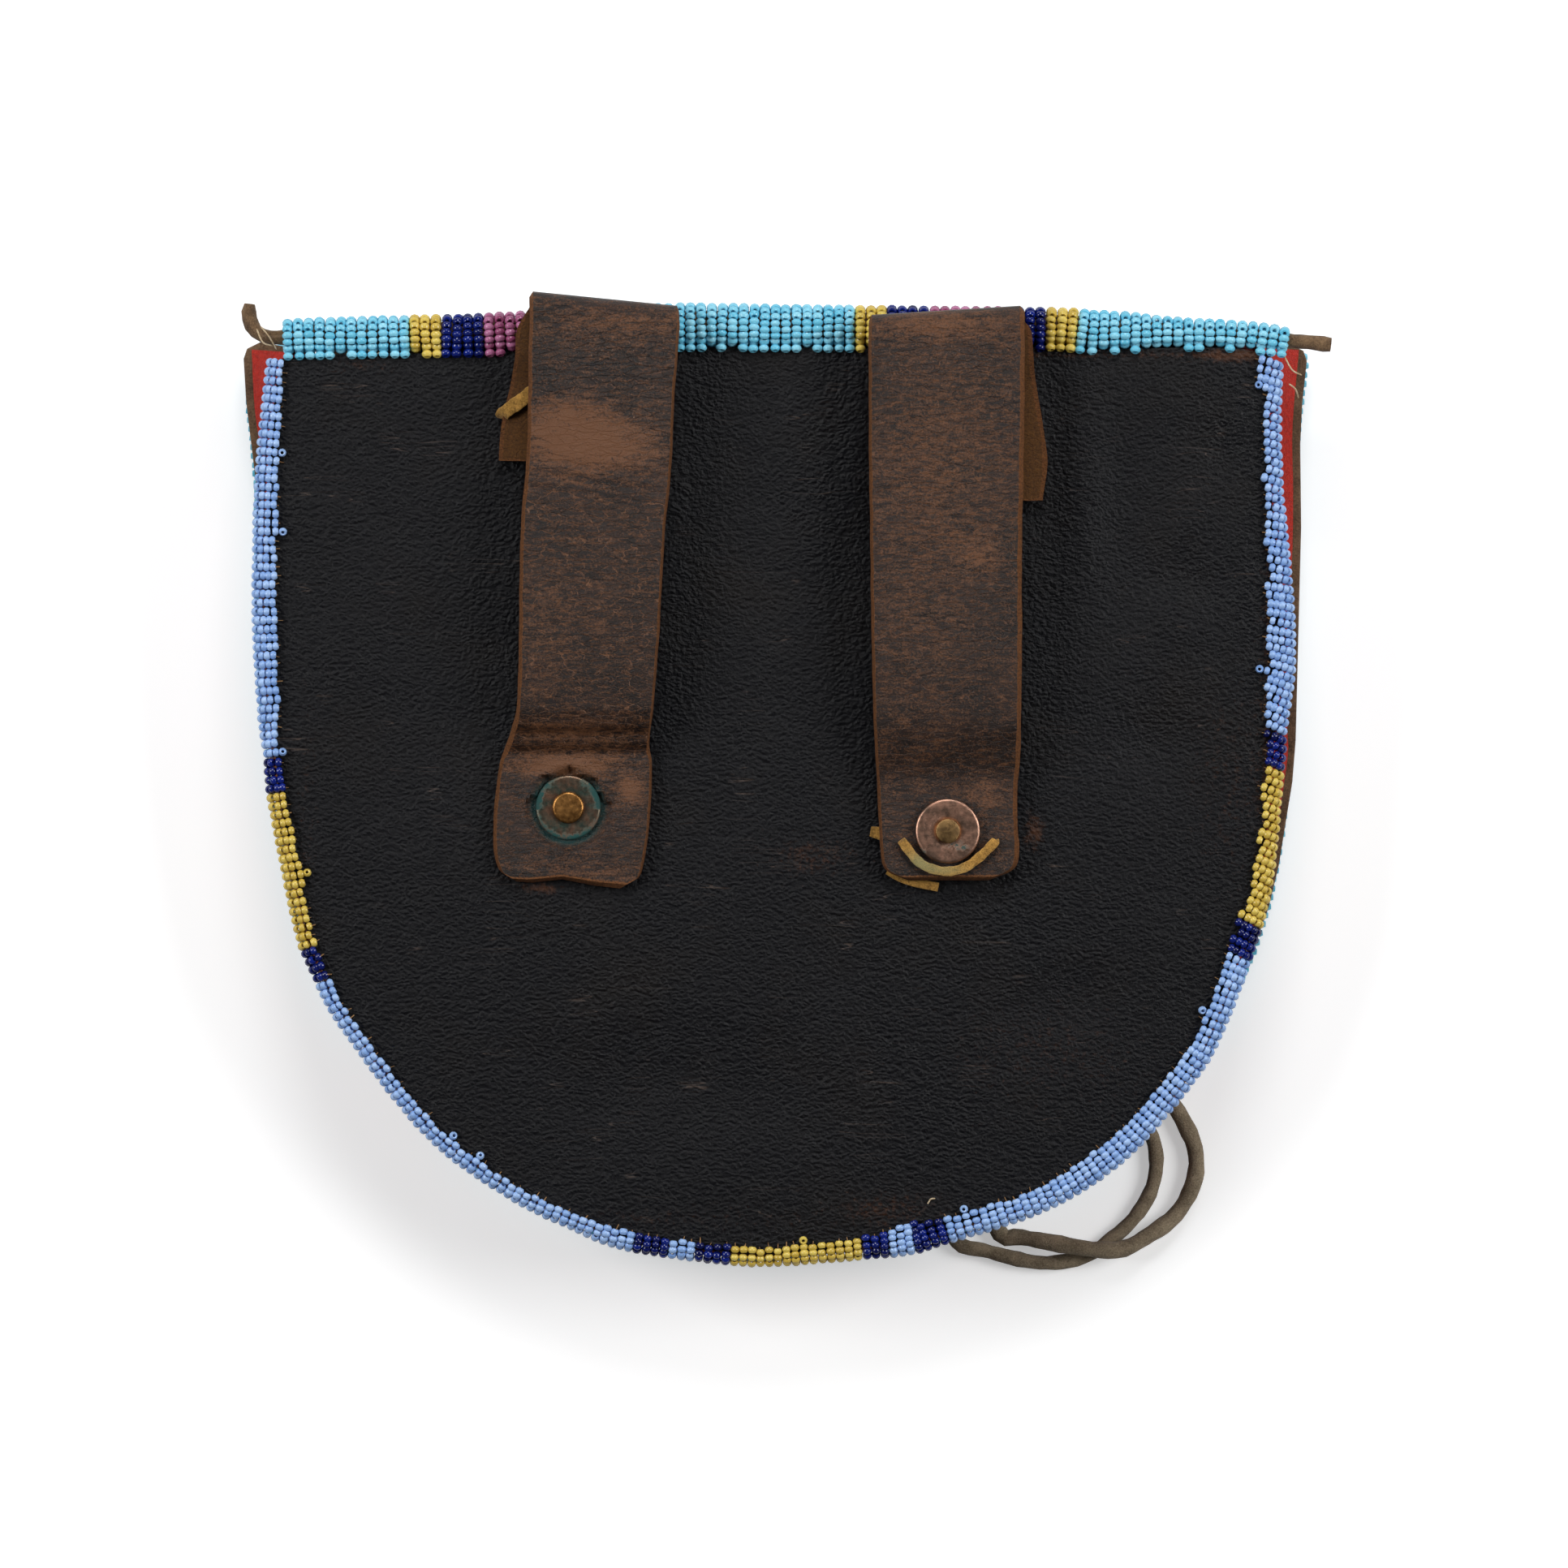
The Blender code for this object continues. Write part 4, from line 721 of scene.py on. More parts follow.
# Sinew: the split tendon that the edging is sewn with. It shows as short tan ticks between the
# inner beads and the leather, and in a few loose ends at the corners.
sinew = suede("split_sinew", "B8905E", "6E4A2C", nap=0.2, mottle=1.5)
TICKS_SEEN = 0.6
ticks = bmesh.new()
for point, inward in thread_ends:
    end = point + inward * chance.uniform(0.75, 1.25)
    end += Vector((chance.normal(0, 0.2 * MM), chance.normal(0, 0.2 * MM), 0))
    end.z = panel_high.z - 0.1 * MM
    thick = chance.uniform(0.07, 0.16) * MM
    if chance.random() < TICKS_SEEN:
        middle, way = (point + end) / 2, end - point
        place = Matrix.Translation(middle) @ way.to_track_quat("Z", "Y").to_matrix().to_4x4()
        bmesh.ops.create_cone(ticks, cap_ends=True, segments=6, radius1=thick, radius2=0.7 * thick,
                              depth=way.length, matrix=place)
make_piece("edging_sinew", ticks, sinew)

over_beads = panel_high.z / MM + 1.9
LOOSE_ENDS = [
    [(94.3, 79.7, -1.2), (95.6, 77.2, 0), (97.5, 76.3, -1.5)],
    [(95.1, 74.6, -1.0), (96.2, 73.6, 0), (96.9, 72.0, -1.4)],
    [(-99.4, 84.9, -0.6), (-98.2, 82.4, 0), (-96.4, 81.8, -1.5)],
    [(-98.6, 85.4, -0.4), (-97.0, 83.4, 0), (-95.8, 81.2, -1.8)],
    [(-78.6, 81.2, -1.7), (-77.4, 80.2, -1.6), (-75.7, 80.8, -1.7)],
    [(27.0, -79.9, -1.7), (27.6, -79.0, -1.5), (28.4, -78.9, -1.7)],
]
loose = bmesh.new()
for points in LOOSE_ENDS:
    sweep(loose, drawn(points, 16, over_beads), cut_widths(16, 0.32 * MM, 0.5, 0.5), 0.25 * MM, sides=6)
make_piece("loose_sinew_ends", loose, suede("bleached_sinew", "E2D2B4", "A5855C", nap=0.2, mottle=1.5))


# Roll: the top fold is wound with turquoise beads over a thong of hide. Each column is a ring of
# beads on its own thread; the last bead often lies out on the leather. Colours run in blocks.
ROLL_BLOCKS = [
    ("turquoise", 12), ("yellow", 3), ("navy", 4), ("pink", 7), ("navy", 4), ("yellow", 3),
    ("turquoise", 21), ("yellow", 3), ("navy", 4), ("pink", 7), ("navy", 4), ("yellow", 3),
    ("turquoise", 20),
]
ROLL_BEAD_WIDE = 1.98 * MM
ROLL_BEAD_LONG = 1.18 * MM
ROLL_SQUARE = 0.72
# The share of columns whose last bead lies out on the leather, and the same at the right end
OUT_ON_LEATHER = 0.85
OUT_AT_RIGHT = 0.45
RIGHT_END_FROM = 0.8
roll_bead = seed_bead("roll_bead", ROLL_BEAD_WIDE, ROLL_BEAD_LONG, hole=True, sides=10)
roll_count = sum(count for _, count in ROLL_BLOCKS)
roll_middles = stations_on(ROLL_LINE, 2 * roll_count + 1)[1::2]
roll_z = (panel_low.z + panel_high.z) / 2


def roll_column(station, lean, on_leather):
    """Bead centres and thread directions of one ring, from the leather up and round."""
    x, y, radius, toward_x, toward_y = station
    ring = radius - 0.5 * ROLL_BEAD_WIDE
    toward, along = Vector((toward_x, toward_y, 0)), Vector((-toward_y, toward_x, 0))
    start = math.radians(chance.uniform(8, 16))
    section = []
    for degrees in range(0, 361, 15):
        angle = start + math.radians(degrees)
        sides = (math.cos(angle), math.sin(angle))
        section.append([math.copysign(abs(side) ** ROLL_SQUARE, side) for side in sides])
    run = ring * sum(math.dist(a, b) for a, b in zip(section, section[1:]))
    line = smooth_line(section, round(run / ROLL_BEAD_LONG) + 1, 2)
    beads = []
    for (out, rise), (next_out, next_rise) in zip(line, line[1:]):
        point = Vector((x, y, roll_z + ring * rise)) + toward * ring * out + along * lean * out
        way = toward * (next_out - out) + Vector((0, 0, next_rise - rise))
        beads.append((point, way.normalized() - along * 0.3 * rise * lean / MM))
    if on_leather:
        point = Vector((x, y, panel_high.z + 0.75 * MM)) + toward * (radius + 0.2 * MM)
        beads.append((point + along * 1.15 * lean, toward + Vector((0, 0, 0.35))))
    return beads


column = 0
for number, (colour, count) in enumerate(ROLL_BLOCKS, 1):
    places = []
    for station in roll_middles[column:column + count]:
        lean = 0.45 * MM * noise.noise(Vector((column * 0.35, 3, 0)))
        on_leather = chance.random() < (
            OUT_ON_LEATHER if column < RIGHT_END_FROM * roll_count else OUT_AT_RIGHT)
        for point, thread in roll_column(station, lean, on_leather):
            places.append(hand_strung(point, thread, 0.04 * MM, 0.06, 0.03))
        column += 1
    block = f"{number:02d}_{colour}"
    string_beads("roll_beads_" + block, roll_bead, places, colour, "roll_" + block)

# The thong inside the roll, rolled from brown hide: its left end curls up, its right end is cut
# square. A hide lining under the beads keeps the columns from showing through.
core_finish = suede("brown_rolled_thong", "8A6E50", "463426", nap=0.3, mottle=2.5)
core_route = [
    (-100.9, 89.8, 0), (-101.0, 87.4, 0), (-99.8, 84.7, 0), (-97.2, 83.5, 0), (-94.6, 83.5, 0),
    *[(x, y, 0) for x, y, _ in ROLL_LINE[1:]], (98.9, 82.6, 0), (103.1, 82.1, 0),
]
core_line = drawn(core_route, 150) + np.array((0, 0, roll_z))
core = bmesh.new()
sweep(core, core_line, cut_widths(150, 2.8 * MM, 0.7, 0.94), 2.7 * MM, sides=14, groove=0.28, twist=0.06)
make_piece("roll_thong", core, core_finish, "roll_core")
rows = stations_on(ROLL_LINE, 90)[1:-1]
wound = 2 * (rows[:, 2] - 0.75 * ROLL_BEAD_WIDE)
lining = bmesh.new()
sweep(lining, [(x, y, roll_z) for x, y, *_ in rows], wound, wound)
make_piece("roll_lining", lining, core_finish)


# Front and flap beads: lane stitch in turquoise, rows of nine beads in lanes 12.5 mm wide, with
# stepped bars in navy, yellow and rose. They lie under the pouch and show at its rim. Under the
# closed flap the rows are ridges with the beads in their surface.
LANE = 12.5 * MM
FRONT_BEAD_WIDE = 1.74 * MM
FRONT_BEAD_LONG = 1.34 * MM
FRONT_BEAD_PITCH = 1.39 * MM
FRONT_ROW = 1.72 * MM
BEADS_A_PIECE = 5000
KNOT_ROOM = 3.4 * MM
FLAP_COVERS = 3 * MM
RIDGED_ACROSS = 28
# How far off a ridge's crest its four lines lie, as shares of the bead's radius
RIDGE_PROFILE = (0, 0.5, 0.99, 0.5)
front_bead = seed_bead("front_bead", FRONT_BEAD_WIDE, FRONT_BEAD_LONG, hole=False, sides=5)


def solid_tree(name):
    """The CAD solid's surface, to ask what lies along a line."""
    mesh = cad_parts[name].data
    corners = [vert.co for vert in mesh.vertices]
    return BVHTree.FromPolygons(corners, [tuple(face.vertices) for face in mesh.polygons])


def rims_at(solid, y, level):
    """The solid's left and right rim at this height, or nothing outside it."""
    hits = [solid.ray_cast(Vector((side, y, level)), Vector((-side, 0, 0)))[0] for side in (-1, 1)]
    return (hits[0].x, hits[1].x) if all(hits) else None


def lane_colour(x, y, tip):
    """Which glass a bead is: bars of navy, yellow and rose across the lanes, near the rounded end."""
    lane = round(abs(x) / LANE)
    step = (y - tip) / FRONT_ROW - 1.5 * (7 - lane)
    if 10 <= step < 13 or 21 <= step < 24:
        return "navy"
    if 13 <= step < 21:
        return "yellow" if lane % 2 else "pink"
    return "turquoise"


def lane_row(left, right, y, level):
    """Bead centres of one row from rim to rim, a little higher at the edges of each lane."""
    count = round((right - left) / FRONT_BEAD_PITCH)
    beads = []
    for k in range(count):
        x = left + (right - left) * (k + 0.5) / count
        edge = abs(2 * ((x / LANE + 0.5) % 1) - 1)
        beads.append((x, y, level + 0.25 * MM * edge ** 4))
    return beads


def add_beadwork(name, beads, low, body, node):
    """Beadwork as pieces by colour, all standing for one node. Nothing sinks below its lowest level."""
    found = {}
    for x, y, z in beads:
        jog = chance.normal(0, 0.045 * MM, 3)
        swell = chance.normal(1.0, 0.03)
        level = max(z + jog[2], low.z + swell * FRONT_BEAD_WIDE / 2)
        place = bead_place((x + jog[0], y + jog[1], level), (1, chance.normal(0, 0.05), 0), swell)
        found.setdefault(lane_colour(x, y, low.y), []).append(place)
    for colour, places in found.items():
        for part in range(0, len(places), BEADS_A_PIECE):
            string_beads(f"{name}_{colour}_{part // BEADS_A_PIECE + 1}", front_bead,
                         places[part:part + BEADS_A_PIECE], colour, node, body)


front_low, front_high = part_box("front_beadwork")
flap_low, flap_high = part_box("flap_beadwork")
front_solid, flap_solid = solid_tree("front_beadwork"), solid_tree("flap_beadwork")
front_middle, flap_middle = (front_low.z + front_high.z) / 2, (flap_low.z + flap_high.z) / 2
beads, hidden_rows = [], []
for y in np.arange(front_low.y + 0.5 * MM, front_high.y, FRONT_ROW):
    rims = rims_at(front_solid, y, front_middle)
    flap_rims = rims_at(flap_solid, y - FLAP_COVERS, flap_middle)
    if rims is None:
        continue
    row = lane_row(*rims, y, front_low.z + FRONT_BEAD_WIDE / 2)
    if flap_rims:
        left, right = flap_rims[0] + FLAP_COVERS, flap_rims[1] - FLAP_COVERS
        row = [bead for bead in row if not left < bead[0] < right]
        hidden_rows.append((y, left, right))
    beads += [bead for bead in row if math.dist(bead[:2], knot_middle[:2]) > KNOT_ROOM]
add_beadwork("front_beads", beads, front_low, "pouch", "front_beadwork")


def ridged_rows(name, rows, body, node):
    """Bead rows as one sheet with a ridge to a row, from four lines to a row: y, level, left rim,
    right rim, and the y and z of the way out."""
    made, up, places = ruled_grid(RIDGED_ACROSS, len(rows) - 1)
    for vert, column, index in places:
        y, level, left, right, out_y, out_z = rows[index]
        off = RIDGE_PROFILE[index % 4]
        dip = FRONT_BEAD_WIDE / 2 * (1 - math.sqrt(1 - off * off))
        x = left + (right - left) * column / RIDGED_ACROSS
        out = Vector((0, out_y, out_z))
        bow = flap_bow(x, y) if body == "flap" else 0
        vert.co = Vector((x, y + bow, level)) - out * dip
        vert[up] = out
    thicken(made, 0.8 * MM)
    piece = make_piece(name, made, row_glass, node, body)
    paint(piece, "bead", lambda x, y, z: chance.random(len(x)))


row_glass = bead_glass("turquoise_bead_rows", "90D6EC", "62BEDC", row_of=FRONT_BEAD_PITCH)
hidden = np.array([(y, front_low.z, left, right, 0, -1) for y, left, right in hidden_rows])
quarters = np.linspace(0, len(hidden) - 1, 4 * (len(hidden) - 1) + 1)
hidden = read_off(hidden, range(len(hidden)), quarters)
ridged_rows("front_beads_under_flap", hidden, "pouch", "front_beadwork")

beads = []
for y in np.arange(flap_low.y + 0.5 * MM, flap_high.y, FRONT_ROW):
    rims = rims_at(flap_solid, y, flap_middle)
    if rims:
        beads += lane_row(*rims, y, flap_low.z + FRONT_BEAD_WIDE / 2)
add_beadwork("flap_beads", beads, flap_low, "flap", "flap_beadwork")

# The flap's beads go on round the mouth to the roll: y and level of the hide's middle in mm.
TURN = [
    (85.8, 18.95), (86.2, 15.4), (86.4, 10.8), (86.1, 6.3), (82.8, 3.7), (76.8, 2.7), (71.8, 2.7),
]
TURN_HALF_WIDTH = 87.2 * MM
BEADS_OVER_HIDE = 2.6 * MM
turn = smooth_line(np.array(TURN) * MM + np.array((DRAWING_ORIGIN.y, 0)), 60, 2)
turn = with_normals(turn, side=-1)[5:]
outer = turn[:, :2] + turn[:, 2:] * BEADS_OVER_HIDE
turn_run = np.linalg.norm(np.diff(outer, axis=0), axis=1).sum()
outer = with_normals(smooth_line(outer, 4 * round(turn_run / FRONT_ROW) + 1, 2), side=-1)
sides = np.full(len(outer), TURN_HALF_WIDTH)
outer = np.column_stack([outer[:, 0], np.maximum(outer[:, 1], 0), -sides, sides, outer[:, 2:]])
ridged_rows("flap_top_beads", outer, "flap", "flap_top_beadwork")


# Belt loops: two straps of brown bridle leather 2.2 mm thick. Each is folded at the top, its
# short back run laced to the panel, its long front run riveted at the bottom. The cut edges are
# raw, the grain is cracked, rubbed brown across the left one's middle.
STRAP = 2.2 * MM
STRAP_LOW = panel_high.z / MM + 1.4
STRAP_HIGH = panel_high.z / MM + 8.9
# The middle of the strap where it passes over the roll's beads
OVER_ROLL = roll_z / MM + 4.2 + 0.3 + 1.1
ACROSS, ALONG = 48, 220
# The cut rims: how far they slant down, their crisp upper line, how much they waver
RAW_DROP = 1.1 * MM
RIM_LINE = 0.12 * MM
RIM_WAVER = 0.14 * MM
# Relief is on what faces up this much; the lower cut shapes the last rows
FACES_UP = 0.6
END_ROWS = 14
OFF_PANEL = 0.1 * MM


def fold_rows(y_left, y_right, low):
    """A loop's half turn at the top, as rows for strap_mesh."""
    rows = []
    radius = (STRAP_HIGH - low) / 2
    for degrees in range(-75, 90, 30):
        angle = math.radians(degrees)
        out = radius * math.cos(angle)
        rows.append((y_left + out, y_right + out, low + radius + radius * math.sin(angle), 0, 0))
    return rows


def strap_mesh(rows, rims, slopes, relief, lower_end):
    """A strap's closed mesh: grain side out, slanting raw edges, flesh side in. Its rows run from
    the back run's end over the fold: left y, right y, level, and how far out of the rims' lines."""
    rows = smooth_line(np.array(rows) + np.array((0, 0, 0, *rims)), ALONG + 1, 3) * MM
    rows[:, :2] += DRAWING_ORIGIN.y
    rows[:, 3:] += DRAWING_ORIGIN.x
    along = np.gradient(np.column_stack([(rows[:, 0] + rows[:, 1]) / 2, rows[:, 2]]), axis=0)
    along /= np.linalg.norm(along, axis=1)[:, None]
    columns = [0, 1, 2, ACROSS - 2, ACROSS - 1, ACROSS]
    made, up, grid = ruled_grid(ACROSS, ALONG, ("raw", "flesh"))
    raw, flesh = made.verts.layers.float["raw"], made.verts.layers.float["flesh"]
    for vert, column, index in grid:
        y_left, y_right, z, x_left, x_right = rows[index]
        wide = x_right - x_left
        left_rim, right_rim = [
            slope * MM / wide * (1 + 0.3 * noise.noise(Vector((index * 0.13, 0, seed))))
            for slope, seed in zip(slopes, (5, 9))]
        crisp = RIM_LINE / wide
        places = [0, left_rim, left_rim + crisp, 1 - right_rim - crisp, 1 - right_rim, 1]
        share = float(np.interp(column, columns, places))
        way = Vector((0, along[index][1], -along[index][0]))
        side = 0 if column < ACROSS / 2 else 9
        wobble = RIM_WAVER * noise.noise(Vector((index * 0.1, side, 1))) * abs(2 * share - 1)
        point = Vector((x_left + wide * share + wobble, y_left + (y_right - y_left) * share, z))
        point += way * STRAP / 2
        if way.z > FACES_UP:
            point.y += max(0.0, (index - ALONG + END_ROWS) / END_ROWS) * lower_end(share) * MM
            point += way * relief(point.x / MM, point.y / MM) * MM
        drop = RAW_DROP if column in (0, ACROSS) or index in (0, ALONG) else 0
        vert.co = point - way * drop
        vert[up] = way * (1 - drop / STRAP)
        vert[raw] = float(column in (0, 1, ACROSS - 1, ACROSS) or index in (0, ALONG - 1, ALONG))
    for vert in thicken(made, STRAP - OFF_PANEL):
        vert[flesh] = 1.0
    for vert in made.verts:
        vert.co.z = max(vert.co.z, panel_high.z + OFF_PANEL)
    return made


def bridle_leather():
    """Vegetable-tanned strap leather, waxed and long worn: dark cracked grain over a brown body."""
    made, place = start_material("brown_bridle_leather", {"IOR": 1.5, "Specular IOR Level": 0.32})
    names = ("scuffed", "crackled", "polished", "verdigris", "raw", "flesh")
    scuffed, crackled, polished, verdigris, raw, flesh = [painted(place, name) for name in names]
    squashed = stretched(place, 0, (0.6, 1.7, 1.0))
    sockets = {"Vector": swayed(place, squashed, 2.5 * MM, 0.0016), "Scale": 1 / (2.2 * MM)}
    cells = add_node(place, "TexVoronoi", sockets, feature="DISTANCE_TO_EDGE")
    cracks = ramp(cells.outputs["Distance"], 0.0, 0.045, 1.0, 0.0)
    fine = speckle(place, 0.4 * MM, 5.0, 0.7)
    streaks = speckle(squashed, 1.4 * MM, 6.0, 0.75)
    wide = speckle(place, 8 * MM, 6.0, 0.65)
    colour = tint(ramp(wide, 0.4, 0.7), "140D0A", "2A1B14")
    broken = ramp(speckle(place, 1.3 * MM, 3.0), 0.44, 0.6)
    lines = work_out("MULTIPLY", work_out("MULTIPLY", cracks, broken), crackled)
    colour = tint(lines, colour, "76523A")
    grain = work_out("MULTIPLY_ADD", fine, 0.5, work_out("MULTIPLY", streaks, 0.5))
    amount = work_out("MULTIPLY_ADD", scuffed, 0.2, grain)
    colour = tint(ramp(amount, 0.49, 0.64, 0.0, 0.85), colour, "70492E")
    spots = ramp(speckle(place, 1.8 * MM, 4.0, 0.6), 0.64, 0.7, 0.0, 0.8)
    colour = tint(spots, colour, "0A0A10")
    # Painted highlights: pale specks on the polished places stand in for glints of light on the grain.
    painted_glints = work_out("MULTIPLY", ramp(fine, 0.66, 0.72), polished)
    colour = tint(painted_glints, colour, "9A8C80")
    nap = ramp(fine, 0.3, 0.7)
    colour = tint(flesh, colour, tint(nap, "38210F", "68441F"))
    frayed = ramp(work_out("MULTIPLY_ADD", fine, 0.9, raw), 0.8, 1.0)
    colour = tint(frayed, colour, tint(nap, "3A2210", "80502A"))
    colour = tint(verdigris, colour, "124A4A")
    fibrous = work_out("MAXIMUM", raw, flesh)
    rough = ramp(amount, 0.4, 1.0, 0.38, 0.62)
    rough = work_out("MULTIPLY_ADD", polished, -0.12, rough)
    rough = work_out("MULTIPLY_ADD", fibrous, 0.45, rough)
    height = work_out("MULTIPLY_ADD", cracks, -0.3, fine)
    return wire(made, Base_Color=colour, Roughness=rough, Normal=relief_from(height, 0.9, 0.24 * MM))


strap_leather = bridle_leather()
LEFT_RIMS = (-47.85, -19.75)
step = (STRAP_HIGH - STRAP_LOW) / 4
left_rows = [
    (60.1, 59.5, STRAP_LOW, -5.9, -2.0), (66.9, 66.5, STRAP_LOW, -5.4, -1.7),
    (74.5, 74.0, STRAP_LOW + 0.2, -3.7, -1.1), (79.8, 79.0, OVER_ROLL - 0.9, -2.8, -0.7),
    (84.6, 83.2, OVER_ROLL, -2.4, -0.3),
    *fold_rows(88.4, 85.6, OVER_ROLL),
    (84.3, 83.8, STRAP_HIGH, 0, 0), (71.6, 71.0, STRAP_HIGH, -0.2, -0.9),
    (59.8, 59.5, STRAP_HIGH, -0.5, -1.4), (46.8, 47.0, STRAP_HIGH, -1.6, -2.6),
    (26.8, 26.8, STRAP_HIGH - 0.4, -1.9, -3.8), (13.8, 14.0, STRAP_HIGH - step, -2.4, -4.8),
    (9.3, 9.5, STRAP_LOW + 1.6 * step, -3.4, -5.4),
    (5.6, 5.8, STRAP_LOW + 0.3 * step, -4.8, -5.7),
    (2.8, 3.0, STRAP_LOW, -5.8, -5.2), (-5.2, -5.2, STRAP_LOW, -6.8, -5.5),
    (-12.5, -12.5, STRAP_LOW, -7.0, -6.2),
    (-17.8, -18.3, STRAP_LOW, -5.9, -7.3),
    (-19.1, -19.8, STRAP_LOW, -4.4, -9.2),
]
LEFT_RIVET = Vector((-40.72, -4.59))


def left_relief(x, y):
    """The sunk place round the left burr, its torn upper lip, and creases across the strap."""
    away = Vector((x, y)) - LEFT_RIVET
    reach, turn = away.length, math.atan2(away.y, away.x)
    lip = 6.4 + (0.5 * math.sin(9 * turn) + 0.35 * math.sin(17 * turn + 1) if away.y > 0 else 0)
    slope = 0.7 if away.y > 1 else 2.2
    sunk = min(1, max(0, (lip + slope - reach) / slope))
    height = -1.25 * sunk * sunk * (3 - 2 * sunk)
    height += 0.35 * math.exp(-((reach - 8.0) / 0.8) ** 2) * (1 if away.y > 0 else 0.5)
    height += 0.14 * math.sin(x * 0.35 + y * 2.2) * math.exp(-((y - 57) / 3.5) ** 2)
    height += 0.18 * math.sin(y * 1.9) * math.exp(-((y - 8) / 5) ** 2)
    return height + 0.12 * noise.noise(Vector((x, y, 0)) * 0.25)


def left_lower_end(share):
    """How far the wavy lower cut leaves a straight line, in mm."""
    places = [0, 0.08, 0.2, 0.45, 0.7, 0.92, 1]
    return np.interp(share, places, [1.2, 0.0, -0.1, 0.7, -0.3, -0.7, 0.6])


def left_verdigris(x, y, z):
    """Green on the wall of the sunk place, mostly below the burr and at its upper corners."""
    reach = np.hypot(x - LEFT_RIVET.x, y - LEFT_RIVET.y)
    lower = (LEFT_RIVET.y - y) / 6
    corner = np.abs(x - LEFT_RIVET.x) / 6 - 0.35
    return np.exp(-((reach - 6.4) / 0.55) ** 2) * np.clip(np.maximum(lower, corner), 0, 0.8)


strap = strap_mesh(left_rows, LEFT_RIMS, (0.65, 0.4), left_relief, left_lower_end)
strap = make_piece("left_strap", strap, strap_leather, "left_belt_loop",
                   crease=35)
paint(strap, "scuffed", patches([
    (-36, 63, 12, 4.5, 1.0), (-41, 68, 9, 4, 0.7), (-30, 86, 14, 3, 0.4), (-41, 3.5, 9, 2, 1.0),
    (-41, 9, 12, 3, 0.4), (-29, -1, 2.5, 2.5, 0.8), (-36, -17, 10, 2, 0.3), (-44, 30, 6, 14, 0.15),
], above=GRAIN_SIDE))
paint(strap, "crackled", lambda x, y, z: np.clip((59 - y) / 4, 0, 1) * np.clip((y + 2) / 6, 0.25, 1))
paint(strap, "polished", patches([(-34, 80, 20, 7, 1.0), (-30, 66, 5, 6, 0.8), (-24, 70, 3, 16, 0.8),
                                  (-49, -6, 3, 8, 1.0), (-30, -9, 3, 6, 0.8)]))
paint(strap, "verdigris", left_verdigris)

RIGHT_RIMS = (15.8, 45.0)
lifted = STRAP_LOW + 1.5
step = (STRAP_HIGH - lifted) / 4
right_rows = [
    (52.1, 52.6, STRAP_LOW, 0.8, 3.6), (59.3, 59.4, STRAP_LOW, 0.6, 4.5),
    (67.1, 67.1, STRAP_LOW, 0.5, 3.6), (73.8, 75.0, STRAP_LOW + 0.3, 0.4, 2.3),
    (79.0, 80.0, OVER_ROLL - 1.0, 0.3, 1.8), (82.8, 84.4, OVER_ROLL, 0.3, 1.4),
    *fold_rows(83.9, 85.7, OVER_ROLL),
    (81.3, 82.8, STRAP_HIGH, 0, 0), (70.1, 70.1, STRAP_HIGH, 0, 0),
    (49.1, 49.1, STRAP_HIGH, 0.2, -0.4), (37.8, 37.8, STRAP_HIGH, 0.4, -0.5),
    (23.4, 23.4, STRAP_HIGH - 0.3, 0.6, -0.5), (11.9, 11.9, STRAP_HIGH - step, 0.9, -0.6),
    (6.4, 6.9, lifted + 1.8 * step, 1.2, -0.6), (1.9, 2.4, lifted + 0.5 * step, 1.5, -0.8),
    (-1.8, -1.6, lifted, 1.7, -1.2), (-9.6, -9.6, lifted, 2.0, -1.1),
    (-13.1, -12.4, lifted, 2.3, -0.8),
    (-16.9, -16.6, lifted, 3.3, -1.6),
    (-18.9, -18.9, lifted, 7.5, -6.6),
]
RIGHT_RIVET = Vector((30.68, -8.99))


def right_relief(x, y):
    """The strap pressed in a little under the right burr, with faint creases."""
    reach = (Vector((x, y)) - RIGHT_RIVET).length
    return -0.15 * math.exp(-(reach / 7.5) ** 4) + 0.12 * noise.noise(Vector((x, y, 4)) * 0.25)


strap = strap_mesh(right_rows, RIGHT_RIMS, (0.5, 0.8), right_relief, lambda share: 0.0)
strap = make_piece("right_strap", strap, strap_leather, "right_belt_loop",
                   crease=35)
paint(strap, "scuffed", patches([(30, 62, 12, 18, 0.25), (30, 86, 14, 3, 0.5), (24, 30, 8, 22, 0.15),
                                 (38, -2, 3, 3, 0.4), (36, 43, 4, 3, 0.5)], above=GRAIN_SIDE))
paint(strap, "crackled",
      lambda x, y, z: 0.55 * np.clip((y - 5) / 20, 0.2, 1) * np.clip((84 - y) / 4, 0, 1))
paint(strap, "polished", patches([(30, 80, 16, 6, 0.7), (30, 20, 12, 30, 0.4)]))


